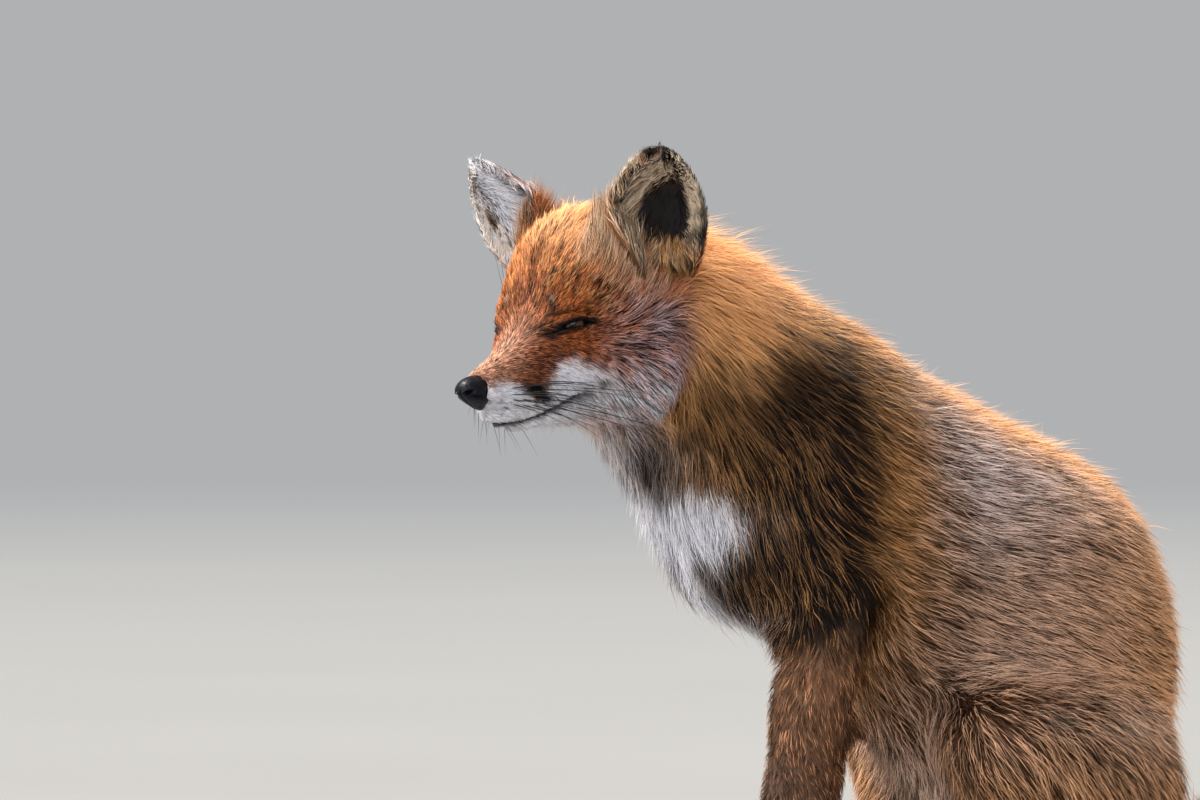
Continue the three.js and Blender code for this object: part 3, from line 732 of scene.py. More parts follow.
def ear_grid(side, rows=44, columns=36):
    """Points and faces of both sides of an ear's cup, and which points are inside it."""
    v, u = np.meshgrid(0.985 * np.linspace(0, 1, rows) ** 0.9, np.linspace(-1, 1, columns), indexing="ij")
    outer = ear_point(side, u.ravel(), v.ravel(), 0)[0]
    inner = ear_point(side, u.ravel(), v.ravel(), 1)[0]
    index = np.arange(rows * columns).reshape(rows, columns)
    quads = np.stack((index[:-1, :-1], index[1:, :-1], index[1:, 1:], index[:-1, 1:]), -1).reshape(-1, 4)
    faces = [quads, quads[:, ::-1] + rows * columns]
    rim = np.concatenate((index[:, 0], index[-1, 1:-1], index[::-1, -1]))
    strip = np.stack((rim[:-1], rim[:-1] + rows * columns, rim[1:] + rows * columns, rim[1:]), -1)
    faces.append(strip)
    points = np.concatenate((outer, inner))
    faces = np.concatenate(faces)
    if volume_sign(points, faces) < 0:
        faces = faces[:, ::-1]
    inside = np.concatenate((np.zeros(len(outer)), np.ones(len(inner))))
    return points, faces, inside, np.concatenate((v.ravel(), v.ravel())), np.concatenate((u.ravel(), u.ravel()))


def volume_sign(points, faces):
    middle = points.mean(0)
    a, b, c = (points[faces[:, i]] - middle for i in range(3))
    return np.sign(dot(a, np.cross(b, c)).sum())


# -------------------------------------------------------------- lie of the coat

FLUFF = {"left": ((29, 82, 84), (50, 114, 70)), "right": ((-24, 104, 82), (-44, 114, 74))}


def ear_fluff(points):
    """How much of the long hair in front of an ear grows at each place, and the way it stands up."""
    amount = np.zeros(len(points))
    lean = np.zeros((len(points), 3))
    for side, way in SIDES.items():
        start, end = (on_head(*place) for place in FLUFF[side])
        share = np.clip((points - start) @ (end - start) / ((end - start) @ (end - start)), 0, 1)
        gap = np.linalg.norm(points - start - share[:, None] * (end - start), axis=1) / MM
        near = soft(9.5 - gap, 0, 2)
        rise = unit(on_head(*EARS[side][1]) - on_head(*EARS[side][0]))
        amount += near
        lean += near[:, None] * (rise * 0.95 - LEFT * 0.3 * way - BACK * 0.15)
    return np.minimum(amount, 1), lean


# hair inside an ear: how far outward it leans, from the inner edge to the outer
HAIR_ACROSS_EAR = ((-0.98, -0.8, -0.5, 0.1, 0.5, 0.9), (-0.8, -0.1, 0.5, 0.4, -0.1, -0.5))


def lie_of_coat(points, normals, region):
    """The way the hair points at each place, along the skin."""
    l, b, z = head_place(points)
    x, y, h = body_place(points)
    n = len(points)
    nothing = np.zeros(n)
    way = np.tanh(l / 8)[:, None]
    low = soft(30 - z, 0, 12) * soft(b, 52, 12)
    brow = soft(z, 44, 6) * soft(88 - b, 0, 8)
    head = BACK * 1.0 + LEFT * way * (0.22 + 0.15 * soft(b, 80, 10))[:, None]
    head = head - UP * (0.95 * low)[:, None] + UP * (0.9 * brow)[:, None]
    head = head - UP * (0.35 * soft(54 - z, 0, 8) * soft(b, 96, 8))[:, None]
    down = np.interp(y, (-110, -60, 20, 60, 120, 300), (1.2, 1.0, 0.8, 0.55, 0.4, 0.6))
    body = np.tile((0.0, 1.0, 0.0), (n, 1)) - UP * down[:, None]
    front = np.maximum(soft(-normals[:, 1], 0.25, 0.1) * soft(60 - y, 0, 20), soft(-y, 70, 14) * soft(350 - h, 0, 12))
    body = body * (1 - front)[:, None] + np.array((0, 0.25, -1.0)) * front[:, None]
    body = body + np.stack((np.tanh(x / 30) * 0.25, nothing, nothing), 1)
    leg = np.tile((0.0, 0.15, -1.0), (n, 1))
    foot = soft(36 - h, 0, 8)[:, None]
    leg = leg * (1 - foot) + np.array((0, -1.0, -0.25)) * foot
    hind = (soft(y, 70, 6) * soft(64 - h, 0, 6))[:, None]
    leg = leg * (1 - hind) + np.array((0, -1.0, -0.15)) * hind
    thigh = np.stack((np.tanh(x / 40) * 0.1, 0.6 + nothing, -0.8 + nothing), 1)
    tail = along_tail(points)[2]
    ear = np.zeros((n, 3))
    inner = np.zeros((n, 3))
    for side, sign in SIDES.items():
        _, rise, broad = ear_point(side, np.zeros(1), np.zeros(1), 0)
        own = (l * sign > 0)[:, None]
        outward = broad * sign
        across = np.interp(region["lateral"], *HAIR_ACROSS_EAR)[:, None]
        edge = soft(-region["lateral"], 0.62, 0.12)[:, None]
        ear += own * (rise - outward * edge * 0.8)
        inner += own * (rise + outward * across)
        off = np.linalg.norm(points - on_head(*EARS[side][0]) - rise * 6 * MM, axis=1) / MM
        head += rise * (3.0 * bump(off, 0, 36))[:, None] * own
    mixed = combine({k: v[:, None] for k, v in region.items()},
                    {"head": head, "body": body, "leg": leg, "thigh": thigh, "tail": tail, "ear": ear,
                     "ear_inside": inner})
    swirl = np.stack([lattice_noise(points, 0.03, 30 + i) for i in range(3)], 1) * 0.3
    swirl += np.stack([lattice_noise(points, 0.011, 40 + i) for i in range(3)], 1) * 0.2
    mixed = mixed + swirl * np.where(region["head"] > 0.5, 0.55, 1)[:, None]
    return unit(mixed - normals * dot(mixed, normals))


def coat_length(points, region):
    """Length of the hair, in metres."""
    _, b, z = head_place(points)
    _, y, h = body_place(points)
    face = np.interp(b, (-5, 10, 30, 60, 85, 105, 125, 145), (2.0, 3.0, 4.6, 7, 10, 17, 28, 35))
    face = np.where(z > 50, np.clip(face, 0, 13), face)
    face = np.maximum(face, 24 * bump(ear_root_distance(points), 14, 26) * soft(z, 58, 5))
    face = np.maximum(face, 27 * ear_fluff(points)[0])
    eye = eye_distance(points)
    face = np.minimum(face, np.interp(eye, (9, 14, 26, 40), (2.2, 4.0, 8, 40)))
    leg = np.interp(h, (0, 30, 60, 150, 215, 250), (4, 5, 6, 8, 12, 20))
    share, _, _ = along_tail(points)
    brush = np.interp(share, (0, 0.15, 0.8, 1), (28, 42, 48, 36))
    body = np.interp(y, (-120, 0, 60, 200, 300), (28, 28, 24, 24, 26))
    nothing = np.zeros(len(points))
    lateral, rise = region["lateral"], region["rise"]
    inside = np.interp(lateral, (-0.9, -0.2, 0.4, 0.8), (19, 17, 12, 8))
    inside = inside * np.interp(rise, (0, 0.3, 0.5, 0.8, 1), (0.6, 0.7, 1, 0.55, 0.25))
    return MM * combine(region, {"head": face, "body": body, "leg": leg, "thigh": nothing + 22, "tail": brush,
                                 "ear": 5 + 15 * soft(-lateral, 0.65, 0.1) * soft(0.85 - rise, 0, 0.1),
                                 "ear_inside": inside + 4 * (rise < 0.2) * (lateral > 0)})


# ---------------------------------------------------------------- skin's unwrap

def unwrap(faces_middle, face_normals, face_kind):
    """The flat charts, which of them each face belongs to, and the axis along which it is flattened."""
    x, y, _ = body_place(faces_middle)
    axis = np.argmax(np.abs(face_normals), axis=1)
    sign = np.take_along_axis(face_normals, axis[:, None], 1)[:, 0] > 0
    share, _, _ = along_tail(faces_middle)
    part = (face_kind * 4 + (x > 0) * 2 + (y > 70)).astype(int)
    part = np.where(face_kind == KINDS.index("tail"), 100 + np.minimum(share * 4, 3).astype(int), part)
    keys = part * 6 + axis * 2 + sign
    charts, chart = np.unique(keys, return_inverse=True)
    return charts, chart, axis


def pack_charts(sizes):
    """Lower left corners of boxes set on shelves, and the side of the square that holds them."""
    side = math.sqrt(np.prod(sizes, axis=1).sum()) * 1.12
    while True:
        corners = np.zeros_like(sizes)
        across = up = shelf = 0.0
        for i in np.argsort(-sizes[:, 1]):
            if across + sizes[i, 0] > side:
                across, up, shelf = 0.0, up + shelf, 0.0
            corners[i] = across, up
            across += sizes[i, 0]
            shelf = max(shelf, sizes[i, 1])
        if up + shelf <= side and sizes[:, 0].max() <= side:
            return corners, side
        side *= 1.04


SKIN = {}
CHART_GAP = 6 * MM


def build_skin(material):
    shell, nearest = joined_flesh()
    surface = Surface(shell)
    surface.smooth(26)
    region = np.zeros((len(surface.points), len(KINDS)))
    kinds = np.array([KINDS.index(KIND_OF.get(node, "head")) for node in nearest])
    region[np.arange(len(kinds)), kinds] = 1
    wide = surface.spread(region, 60)
    join = np.clip(6 * (wide[:, 1] * (wide[:, 2] + wide[:, 3] + wide[:, 4])), 0, 1)[:, None]
    for _ in range(60):
        surface.points += join * 0.6 * (surface.average(surface.points) - surface.points)
    region = surface.spread(region, 14)
    set_points(shell, surface.points)
    parts = dict(zip(KINDS, region.T))
    depth = surface.spread(coat_depth(surface.points, parts), 12)
    share, axis_place, _ = along_tail(surface.points)
    pull_in = parts["tail"] * np.interp(share, (0, 0.1, 0.9, 1), (0.1, 0.5, 0.5, 0.62))
    points = surface.points - mesh_normals(shell) * depth[:, None]
    points += (axis_place - points) * pull_in[:, None]
    surface.points = points
    surface.smooth(10)
    set_points(shell, surface.points)
    for i, name in enumerate(KINDS):
        shell.attributes.new(name, "FLOAT", "POINT").data.foreach_set("value", region[:, i].astype(np.float32))
    refine(shell, lambda p: ((eye_distance(p) < 34) | near_mouth(p, 16)) & (head_place(p)[1] < 105))
    refine(shell, lambda p: (eye_distance(p) < 24) | near_mouth(p, 5))
    surface = Surface(shell)
    surface.points = surface.spread(surface.points, 3)
    points = surface.points
    set_points(shell, points)
    points = shape_mouth(points, mesh_normals(shell))
    points = shape_toes(shape_lids(points))
    set_points(shell, points)
    add_ears(shell, points, {name: read(shell.attributes[name].data, "value").astype(float) for name in KINDS})
    piece = link("skin", SKIN["mesh"], material)
    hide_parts(*FLESH, "left_ear", "right_ear")
    return piece


def add_ears(shell, points, region):
    """Joins the cups of the ears to the rest of the skin, and keeps what the coat needs to know."""
    shell.calc_loop_triangles()
    loops = [list(p.vertices) for p in shell.polygons]
    all_points = [points]
    extra = {name: [region[name]] for name in KINDS}
    ear_v = [np.zeros(len(points))]
    ear_u = [np.zeros(len(points))]
    offset = len(points)
    for side in SIDES:
        spots, faces, inside, v, u = ear_grid(side)
        all_points.append(spots)
        loops += (faces + offset).tolist()
        for name in KINDS:
            value = inside if name == "ear_inside" else 1 - inside if name == "ear" else np.zeros(len(spots))
            extra[name].append(value)
        ear_v.append(v)
        ear_u.append(u * SIDES[side])
        offset += len(spots)
    mesh = bpy.data.meshes.new("skin")
    mesh.from_pydata(np.concatenate(all_points), [], loops)
    mesh.polygons.foreach_set("use_smooth", np.ones(len(mesh.polygons), bool))
    mesh.update()
    region = {name: np.concatenate(extra[name]) for name in KINDS}
    region.update(rise=np.concatenate(ear_v), lateral=np.concatenate(ear_u))
    SKIN.update(mesh=mesh, points=np.concatenate(all_points), normals=mesh_normals(mesh), region=region)
    # the skin takes the colour of the hair's roots, darkened to 0.8 as painted shade under the coat
    paint(mesh, "coat_tone", markings(SKIN["points"], SKIN["region"])[0] * 0.8)
    map_skin(mesh)


def map_skin(mesh):
    """Unwraps the skin into flat charts, as the map OFBake."""
    totals = read(mesh.polygons, "loop_total", kind=np.int32)
    corners = read(mesh.loops, "vertex_index", kind=np.int32)
    kinds = np.argmax(np.stack([SKIN["region"][k] for k in KINDS]), axis=0)
    starts = np.concatenate(((0,), np.cumsum(totals)[:-1]))
    charts, chart, axis = unwrap(read(mesh.polygons, "center", 3).astype(float),
                                 read(mesh.polygons, "normal", 3).astype(float), kinds[corners[starts]])
    loop_face = np.repeat(np.arange(len(totals)), totals)
    loop_points = SKIN["points"][corners]
    flat = np.stack([np.where(axis[loop_face] == 0, loop_points[:, 1], loop_points[:, 0]),
                     np.where(axis[loop_face] == 2, loop_points[:, 1], loop_points[:, 2])], 1)
    loop_chart = chart[loop_face]
    low = np.full((len(charts), 2), 1e9)
    high = np.full((len(charts), 2), -1e9)
    np.minimum.at(low, loop_chart, flat)
    np.maximum.at(high, loop_chart, flat)
    places, side = pack_charts(high - low + CHART_GAP)
    uv = (flat - low[loop_chart] + places[loop_chart] + CHART_GAP / 2) / side
    lay_flat(mesh, uv)
    SKIN["uv"] = uv


def lay_flat(mesh, uv):
    """Gives a mesh its map from the places of its corners."""
    mesh.uv_layers.new(name="OFBake").uv.foreach_set("vector", uv.astype(np.float32).ravel())


# ---------------------------------------------------------------------- coat

STEPS = 3
HUG = 0.75


def nearest_of(points):
    """A function that tells which of some points is nearest to each place."""
    tree = kdtree.KDTree(len(points))
    for i, point in enumerate(points):
        tree.insert(point, i)
    tree.balance()
    return lambda places: np.array([tree.find(place)[1] for place in places])


def comb_paths():
    """For each point of the skin, the way a hair from there lies over the skin."""
    points, normals = SKIN["points"], SKIN["normals"]
    surface = Surface(SKIN["mesh"])
    flow = surface.spread(lie_of_coat(points, normals, SKIN["region"]), 12)
    trunk = (SKIN["region"]["body"] + SKIN["region"]["thigh"] + SKIN["region"]["tail"])[:, None]
    flow = flow + (surface.spread(flow, 70) - flow) * np.clip(trunk, 0, 1)
    flow = unit(flow - normals * dot(flow, normals))
    length = coat_length(points, SKIN["region"])
    path = [points]
    out = [normals]
    heading = flow
    nearest = nearest_of(points)
    for _ in range(STEPS):
        ahead = path[-1] + heading * (length / STEPS)[:, None]
        near = nearest(ahead)
        off = dot(ahead - points[near], normals[near])
        path.append(ahead - normals[near] * (off * HUG))
        out.append(normals[near])
        heading = unit(flow[near] * 0.75 + heading * 0.25)
    lean = ear_fluff(points)[1] * length[:, None]
    path = [place + lean * (k / STEPS) ** 1.2 for k, place in enumerate(path)]
    SKIN.update(path=np.stack(path, 1), out=np.stack(out, 1), length=length)


def fur_depth():
    """Depth of the coat over each point of the skin, in metres."""
    region = SKIN["region"]
    points = SKIN["points"]
    depth = coat_depth(points, region) / MM
    share, place, _ = along_tail(points)
    far = np.linalg.norm(points - place, axis=1) / MM
    brush = far * np.interp(share, (0, 0.1, 0.9, 1), (0.1, 1, 1, 1.6))
    depth = depth + region["tail"] * brush
    depth = depth + region["ear"] * 0.6 + region["ear_inside"] * 4
    return depth * MM


def sample_path(roots_path, share):
    """Places at a share of the way along each path of equal steps."""
    at = np.clip(share, 0, 1) * STEPS
    low = np.minimum(at.astype(int), STEPS - 1)
    part = (at - low)[:, None]
    rows = np.arange(len(roots_path))
    return roots_path[rows, low] * (1 - part) + roots_path[rows, low + 1] * part


class Coat(NamedTuple):
    """One stretch of coat: where it grows and how its tufts look."""

    name: str
    count: int
    width: float     # of a tuft, in millimetres
    clump: float     # how far tufts lean together into locks
    where: Callable
    lift: tuple = (0.35, 1.05)   # heights of the tips, as shares of the coat's depth
    guard: float = 0.4           # share of pale guard hairs
    contrast: float = 0.38       # between one lock and the next
    skyward: float = 0


def face_part(points, region):
    _, b, _ = head_place(points)
    return region["head"] * soft(96 - b, 0, 3)


def cheek_part(points, region):
    _, b, _ = head_place(points)
    return region["head"] * soft(b, 93, 3)


def body_part(low, high):
    def where(points, region):
        y = body_place(points)[1]
        return region["body"] * ((y >= low) & (y < high))
    return where


def inside_ear_part(points, region):
    lateral, rise = region["lateral"], region["rise"]
    bare = ear_cavity(lateral, rise) * np.where(head_place(points)[0] > 0, 0.97, 0.6)
    return region["ear_inside"] * (1 - bare) * soft(0.97 - rise, 0, 0.01)


TUFT_ROWS = 3
TUFTS_IN_LOCK = 14
BRIGHTEST = 0.86         # no hair is paler than this
PATCH = 0.003            # the side of a tuft's patch of the map
ABOVE_FLOOR = 0.6 * MM
COATS = [
    Coat("coat_face", 64000, 0.32, 0.45, face_part, guard=0.42, contrast=0.28),
    Coat("coat_cheeks_and_crown", 54000, 0.42, 0.7, cheek_part, guard=0.42, contrast=0.42),
    Coat("coat_neck", 58000, 0.54, 0.78, body_part(-400, -10), guard=0.46, contrast=0.42),
    Coat("coat_shoulders", 58000, 0.52, 0.78, body_part(-10, 90), guard=0.2, contrast=0.45),
    Coat("coat_back", 58000, 0.52, 0.8, body_part(90, 200), guard=0.38, contrast=0.4),
    Coat("coat_rump", 46000, 0.58, 0.78, body_part(200, 900), guard=0.34, contrast=0.4),
    Coat("coat_legs", 42000, 0.42, 0.55, lambda p, r: r["leg"], guard=0.24, contrast=0.34),
    Coat("coat_haunches", 38000, 0.56, 0.74, lambda p, r: r["thigh"], guard=0.33, contrast=0.42),
    Coat("coat_tail", 50000, 0.62, 0.5, lambda p, r: r["tail"], (0.45, 1.05)),
    Coat("coat_ears", 15000, 0.32, 0.4, lambda p, r: r["ear"], skyward=0.4),
    Coat("coat_inside_ears", 16000, 0.44, 0.9, inside_ear_part, guard=0.68, contrast=0.75, skyward=1.1),
]


def standing(points):
    """Where the hair stands out from the body: on the nape and the crown."""
    _, b, z = head_place(points)
    _, y, h = body_place(points)
    nape = bump(y, -70, 55) * soft(h, 425, 10) * soft(b, 120, 6)
    crown = soft(z, 84, 8) * soft(120 - b, 0, 6)
    return 1.1 * nape + 0.7 * crown + 1.6 * bump(ear_root_distance(points), 16, 22) * soft(z, 62, 6)


def place_roots(coat, draw):
    """Roots spread over the skin where the coat grows: corners of faces, loops there, and shares of each."""
    mesh, points = SKIN["mesh"], SKIN["points"]
    mesh.calc_loop_triangles()
    triangles = read(mesh.loop_triangles, "vertices", 3, np.int32)
    corners = read(mesh.loop_triangles, "loops", 3, np.int32)
    a, b, c = (points[triangles[:, i]] for i in range(3))
    area = np.linalg.norm(np.cross(b - a, c - a), axis=1) / 2
    cover = np.clip(coat.where(points, SKIN["region"]), 0, 1) / (SKIN["length"] / MM) ** 0.8
    cover *= 1 + 3 * ear_fluff(points)[0]
    cover[in_slit(points)] = 0
    total = np.cumsum(area * cover[triangles].mean(1))
    chosen = np.searchsorted(total, draw.random(coat.count) * total[-1])
    chosen = np.minimum(chosen, len(triangles) - 1)
    r1, r2 = np.sqrt(draw.random(coat.count)), draw.random(coat.count)
    return triangles[chosen], corners[chosen], np.stack((1 - r1, r1 * (1 - r2), r1 * r2), 1)


def tuft_faces(count, per):
    """Triangles of tufts that each have per points: pairs up the sides, and a tip."""
    steps = []
    for k in range(TUFT_ROWS - 2):
        steps += [(2 * k, 2 * k + 1, 2 * k + 3), (2 * k, 2 * k + 3, 2 * k + 2)]
    steps.append((per - 3, per - 2, per - 1))
    return ((np.arange(count) * per)[:, None, None] + np.array(steps)[None]).reshape(-1, 3)


def tuft_tones(low, high, guard, value, row_share):
    """Colours from root to tip: pale guard hairs over darker wool, both darker towards the roots, partly the coat's
    own dark undercoat and partly painted shade deep in the coat, and white fur pale all through.
    """
    pale = np.interp(low.mean(1), (0.15, 0.6), (0, 1))[:, None]
    value = value + (np.maximum(value, 0.95) - value) * 0.6 * pale
    rows = []
    for share in row_share:
        # the wool darkens towards the root: partly its own dark undercoat, partly painted shade
        undercoat_and_shade = np.interp(share, (0, 0.5, 1), (0.14, 0.48, 0.8))
        under = low * (undercoat_and_shade + (1 - undercoat_and_shade) * 0.75 * pale)
        start = low * (0.35 + 0.5 * pale)
        over = start + (high * 1.45 - start) * np.interp(share, (0, 0.5, 1), (0, 0.65, 1))
        rows.append(np.where(guard[:, None], over, under) * value)
    colours = np.stack(rows, 1).reshape(-1, 3)
    return colours / np.maximum(colours.max(1, keepdims=True) / BRIGHTEST, 1)


def grow(coat, seed, material):
    """Makes one stretch of coat as a joined mesh of thin tapered tufts."""
    draw = np.random.default_rng(SEED + seed)
    count = coat.count
    spots, loops, bary = place_roots(coat, draw)

    def blend(values):
        return np.einsum("ij,ij...->i...", bary, values[spots])

    path, out = blend(SKIN["path"]), blend(SKIN["out"])
    length, depth = blend(SKIN["length"]), blend(SKIN["depth"])
    root = path[:, 0]
    reach = draw.uniform(0.6, 1.08, count)
    side = unit(np.cross(path[:, 1] - root, out[:, 0]))

    # locks: tufts near each other lean towards one of them
    leaders = draw.choice(count, max(2, count // TUFTS_IN_LOCK), replace=False)
    leader = leaders[nearest_of(root[leaders])(root)]
    stray = draw.normal(0, 1, (count, 3)) * (length * 0.075)[:, None]
    low, high = markings_at(root, spots, bary)
    guard = draw.random(count) < coat.guard * np.interp(low.mean(1), (0.01, 0.06), (0.4, 1))
    share = np.where(guard, 0.4, 0) + 0.6 * draw.random(count)
    height_share = coat.lift[0] + (coat.lift[1] - coat.lift[0]) * share
    height_share *= np.where(draw.random(count) < 0.04, 1.4, 1)
    height_share *= 1 + standing(root) * draw.random(count)
    tone_of_lock = draw.normal(0, 1, count)[leader]

    shares = np.linspace(0, 1, TUFT_ROWS)
    levels = []
    for s in shares:
        place = sample_path(path, reach * s)
        lead = sample_path(path[leader], reach * s) + (root - root[leader]) * (1 - s * 0.8)
        place = place + (lead - place) * coat.clump * s ** 1.2
        rise = depth * height_share * (1 - (1 - s) ** 1.8)
        levels.append(place + sample_path(out, reach * s) * rise[:, None] + stray * s * s)
    twist = draw.normal(0, 0.45, count)[:, None]
    flat = unit(side * np.cos(twist) + out[:, 0] * np.sin(twist))
    thick = coat.width * MM * draw.uniform(0.7, 1.3, count) * np.where(guard, 0.8, 1.15)
    rows = []
    for level, amount in zip(levels[:-1], np.interp(shares, (0, 0.3, 0.7, 1), (0.75, 1, 0.72, 0))):
        wide = flat * (thick * amount / 2)[:, None]
        rows += [level - wide, level + wide]
    verts = np.stack([*rows, levels[-1]], 1)
    verts[..., 2] = np.maximum(verts[..., 2], ABOVE_FLOOR)
    per = verts.shape[1]
    faces = tuft_faces(count, per)
    tufts = mesh_from(coat.name, verts.reshape(-1, 3), faces)

    value = 1.0 + 0.22 * draw.normal(0, 1, count) + coat.contrast * tone_of_lock
    # painted shade and light by depth in the coat: tufts lying low are darker, the highest lighter
    value = np.clip(value, 0.25, 2.2) * np.interp(height_share, (0.35, 1.05), (0.6, 1.25))
    row_share = np.concatenate([np.repeat(shares[:-1], 2), (1,)])
    paint(tufts, "coat_tone", tuft_tones(low, high, guard, value[:, None], row_share))

    # each tuft is a small patch of the skin's unwrap, at its root
    across = np.concatenate([np.tile((-0.5, 0.5), TUFT_ROWS - 1), (0,)]) * PATCH
    root_uv = np.einsum("ij,ijk->ik", bary, SKIN["uv"][loops])
    uv = root_uv[:, None, :] + np.stack((across, (row_share - 0.5) * PATCH), 1)[None]
    lay_flat(tufts, np.clip(uv.reshape(-1, 2), 0.0005, 0.9995)[faces.ravel()])

    # normals lean towards the skin's, so that the coat shades as one soft form
    facing = np.repeat(out[:, 0], per, axis=0)
    own = mesh_normals(tufts)
    own *= np.sign(dot(own, facing))
    shading = unit(facing * 0.55 + own * 0.65 + (UP - BACK * 0.7) * coat.skyward)
    tufts.normals_split_custom_set_from_vertices(shading.astype(np.float32))
    return link(coat.name, tufts, material)


def markings_at(root, spots, bary):
    """Markings at the roots, worked out place by place so that their edges stay crisp."""
    region = {name: np.einsum("ij,ij->i", bary, values[spots]) for name, values in SKIN["region"].items()}
    return markings(root, region)


def in_slit(points):
    """Places between the lids or the lips, where no hair grows."""
    l, b, z = head_place(points)
    hidden = (np.abs(z - mouth_height(b)) < 0.7) & (b > 3) & (b < 77) & (np.abs(l) < 40)
    hidden &= SKIN["region"]["head"] > 0.5
    for side in SIDES:
        a, over, out = lid_place(points, side)
        hidden |= (np.abs(a) < 14.5) & (np.abs(over - lid_line(a)) < 2.0) & (out > -6) & (out < 16)
    hidden |= (np.hypot(l / 9.5, (z - 0.5) / 9) < 1) & (b < 12)
    return hidden


# ----------------------------------------------------- eyes, nose, claws, whiskers

def globe(rows, columns):
    """Directions over a ball and its faces; the pole is the last axis."""
    lat = np.linspace(0, math.pi, rows)[1:-1]
    lon = np.linspace(0, 2 * math.pi, columns, endpoint=False)
    t, f = np.meshgrid(lat, lon, indexing="ij")
    ring = np.stack((np.sin(t) * np.cos(f), np.sin(t) * np.sin(f), np.cos(t)), -1).reshape(-1, 3)
    directions = np.concatenate((ring, ((0, 0, 1), (0, 0, -1))))
    index = np.arange(len(ring)).reshape(rows - 2, columns)
    beside = np.roll(index, -1, axis=1)
    quads = np.stack((index[:-1], index[1:], beside[1:], beside[:-1]), -1).reshape(-1, 4)
    top = np.stack((index[0], beside[0], np.full(columns, len(ring))), -1)
    bottom = np.stack((beside[-1], index[-1], np.full(columns, len(ring) + 1)), -1)
    triangles = np.concatenate((quads[:, (0, 1, 2)], quads[:, (0, 2, 3)], top, bottom))
    return directions, triangles


def build_eye(side, material, iris_tone):
    """An eyeball with a fibred iris and an upright pupil."""
    directions, faces = globe(60, 72)
    gaze = unit(LEFT * SIDES[side] * 0.72 - BACK * 0.72 - UP * 0.06)
    across = unit(np.cross(UP, gaze))
    upward = np.cross(gaze, across)
    frame_of = np.array((across, upward, gaze))
    sag = soft(directions[:, 2], 0.8, 0.02) * 0.035
    points = EYE[side] + (directions @ frame_of) * (EYE_RADIUS * (1 + sag))[:, None]
    mesh = mesh_from(side + "_eye_ball", points, faces)
    off = np.hypot(directions[:, 0], directions[:, 1])
    angle = np.arctan2(directions[:, 1], directions[:, 0])
    front = directions[:, 2] > 0
    fibres = 0.75 + 0.25 * np.sin(angle * 46 + 5 * np.sin(angle * 9)) * np.interp(off, (0.15, 0.5), (1, 0.6))
    iris = iris_tone * fibres[:, None]
    iris = mix(iris, srgb(30, 18, 10), soft(off, 0.5, 0.05))
    pupil = soft(0.2 - np.hypot(directions[:, 0] * 1.9, directions[:, 1] * 0.72), 0, 0.012)
    colours = mix(iris, srgb(8, 6, 5), pupil)
    colours = mix(colours, srgb(28, 18, 14), soft(off, 0.62, 0.02))
    colours = np.where(front[:, None], colours, srgb(28, 18, 14))
    paint(mesh, "eye_tone", colours)
    piece = link(side + "_eye_ball", mesh, material)
    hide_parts(side + "_eye")
    return piece


def build_nose(material):
    directions, faces = globe(90, 110)
    d = directions[:, (0, 2, 1)] * np.array((1, -1, 1))   # left, behind, above: the pole points ahead
    radii = np.array((9.2, 10.8, 8.6))
    upper = 1 / np.linalg.norm(d / radii, axis=1)
    low_radii = np.array((4.6, 6.4, 10.8))
    lower = 1 / np.linalg.norm(d / low_radii, axis=1)
    sharp = 6
    size = (upper ** sharp + (lower * np.where(d[:, 2] < 0, 1, 0.7)) ** sharp) ** (1 / sharp)
    spots = d * size[:, None]
    spots[:, 1] += 0.72 * np.maximum(-spots[:, 2] - 1, 0)
    l, b, z = spots.T
    ahead = soft(-b - 0.72 * np.minimum(z, 0), 1.5, 0.8)
    for way in (1, -1):
        hole = np.hypot((l - way * 4.9) / 1.9, (z + 0.4 - 0.3 * (l * way - 4.9)) / 1.2)
        slot = np.hypot((l - way * 7.6) / 3.2, (z + 2.0 + 0.25 * np.abs(l - way * 4.9)) / 0.8)
        dent = 3.4 * np.exp(-hole ** 3) + 1.8 * np.exp(-slot ** 2)
        rim = 0.25 * np.exp(-((hole - 1.6) / 0.4) ** 2)
        spots = spots - d * ((dent - rim) * ahead)[:, None]
    groove = 0.8 * np.exp(-(l / 0.7) ** 2) * soft(1.5 - z, 0, 1) * ahead
    spots = spots - d * groove[:, None]
    pebble = lattice_noise(spots, 0.9, 3) * 0.09 + lattice_noise(spots, 0.5, 4) * 0.05
    spots = spots + d * pebble[:, None]
    points = np.array([on_head(0, 6.3, 1.2)]) + (spots * MM) @ HEAD_AXES
    if volume_sign(points, faces) < 0:
        faces = faces[:, ::-1]
    piece = link("nose_leather", mesh_from("nose_leather", points, faces), material)
    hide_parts("nose")
    return piece


def tube(route, radii, sides):
    """A closed tapering tube along a route."""
    route = np.asarray(route, float)
    heading = unit(np.gradient(route, axis=0))
    helper = np.array((0.31, 0.2, 0.93))
    across = unit(np.cross(heading, helper))
    over = np.cross(heading, across)
    angle = np.linspace(0, 2 * math.pi, sides, endpoint=False)
    ring = (across[:, None] * np.cos(angle)[None, :, None] + over[:, None] * np.sin(angle)[None, :, None])
    points = (route[:, None] + ring * np.asarray(radii)[:, None, None]).reshape(-1, 3)
    index = np.arange(len(points)).reshape(len(route), sides)
    beside = np.roll(index, -1, axis=1)
    quads = np.stack((index[:-1], beside[:-1], beside[1:], index[1:]), -1).reshape(-1, 4)
    faces = np.concatenate((quads[:, (0, 1, 2)], quads[:, (0, 2, 3)]))
    ends = [(index[0, 0], index[0, k + 1], index[0, k]) for k in range(1, sides - 1)]
    ends += [(index[-1, 0], index[-1, k], index[-1, k + 1]) for k in range(1, sides - 1)]
    return points, np.concatenate((faces, np.array(ends)))


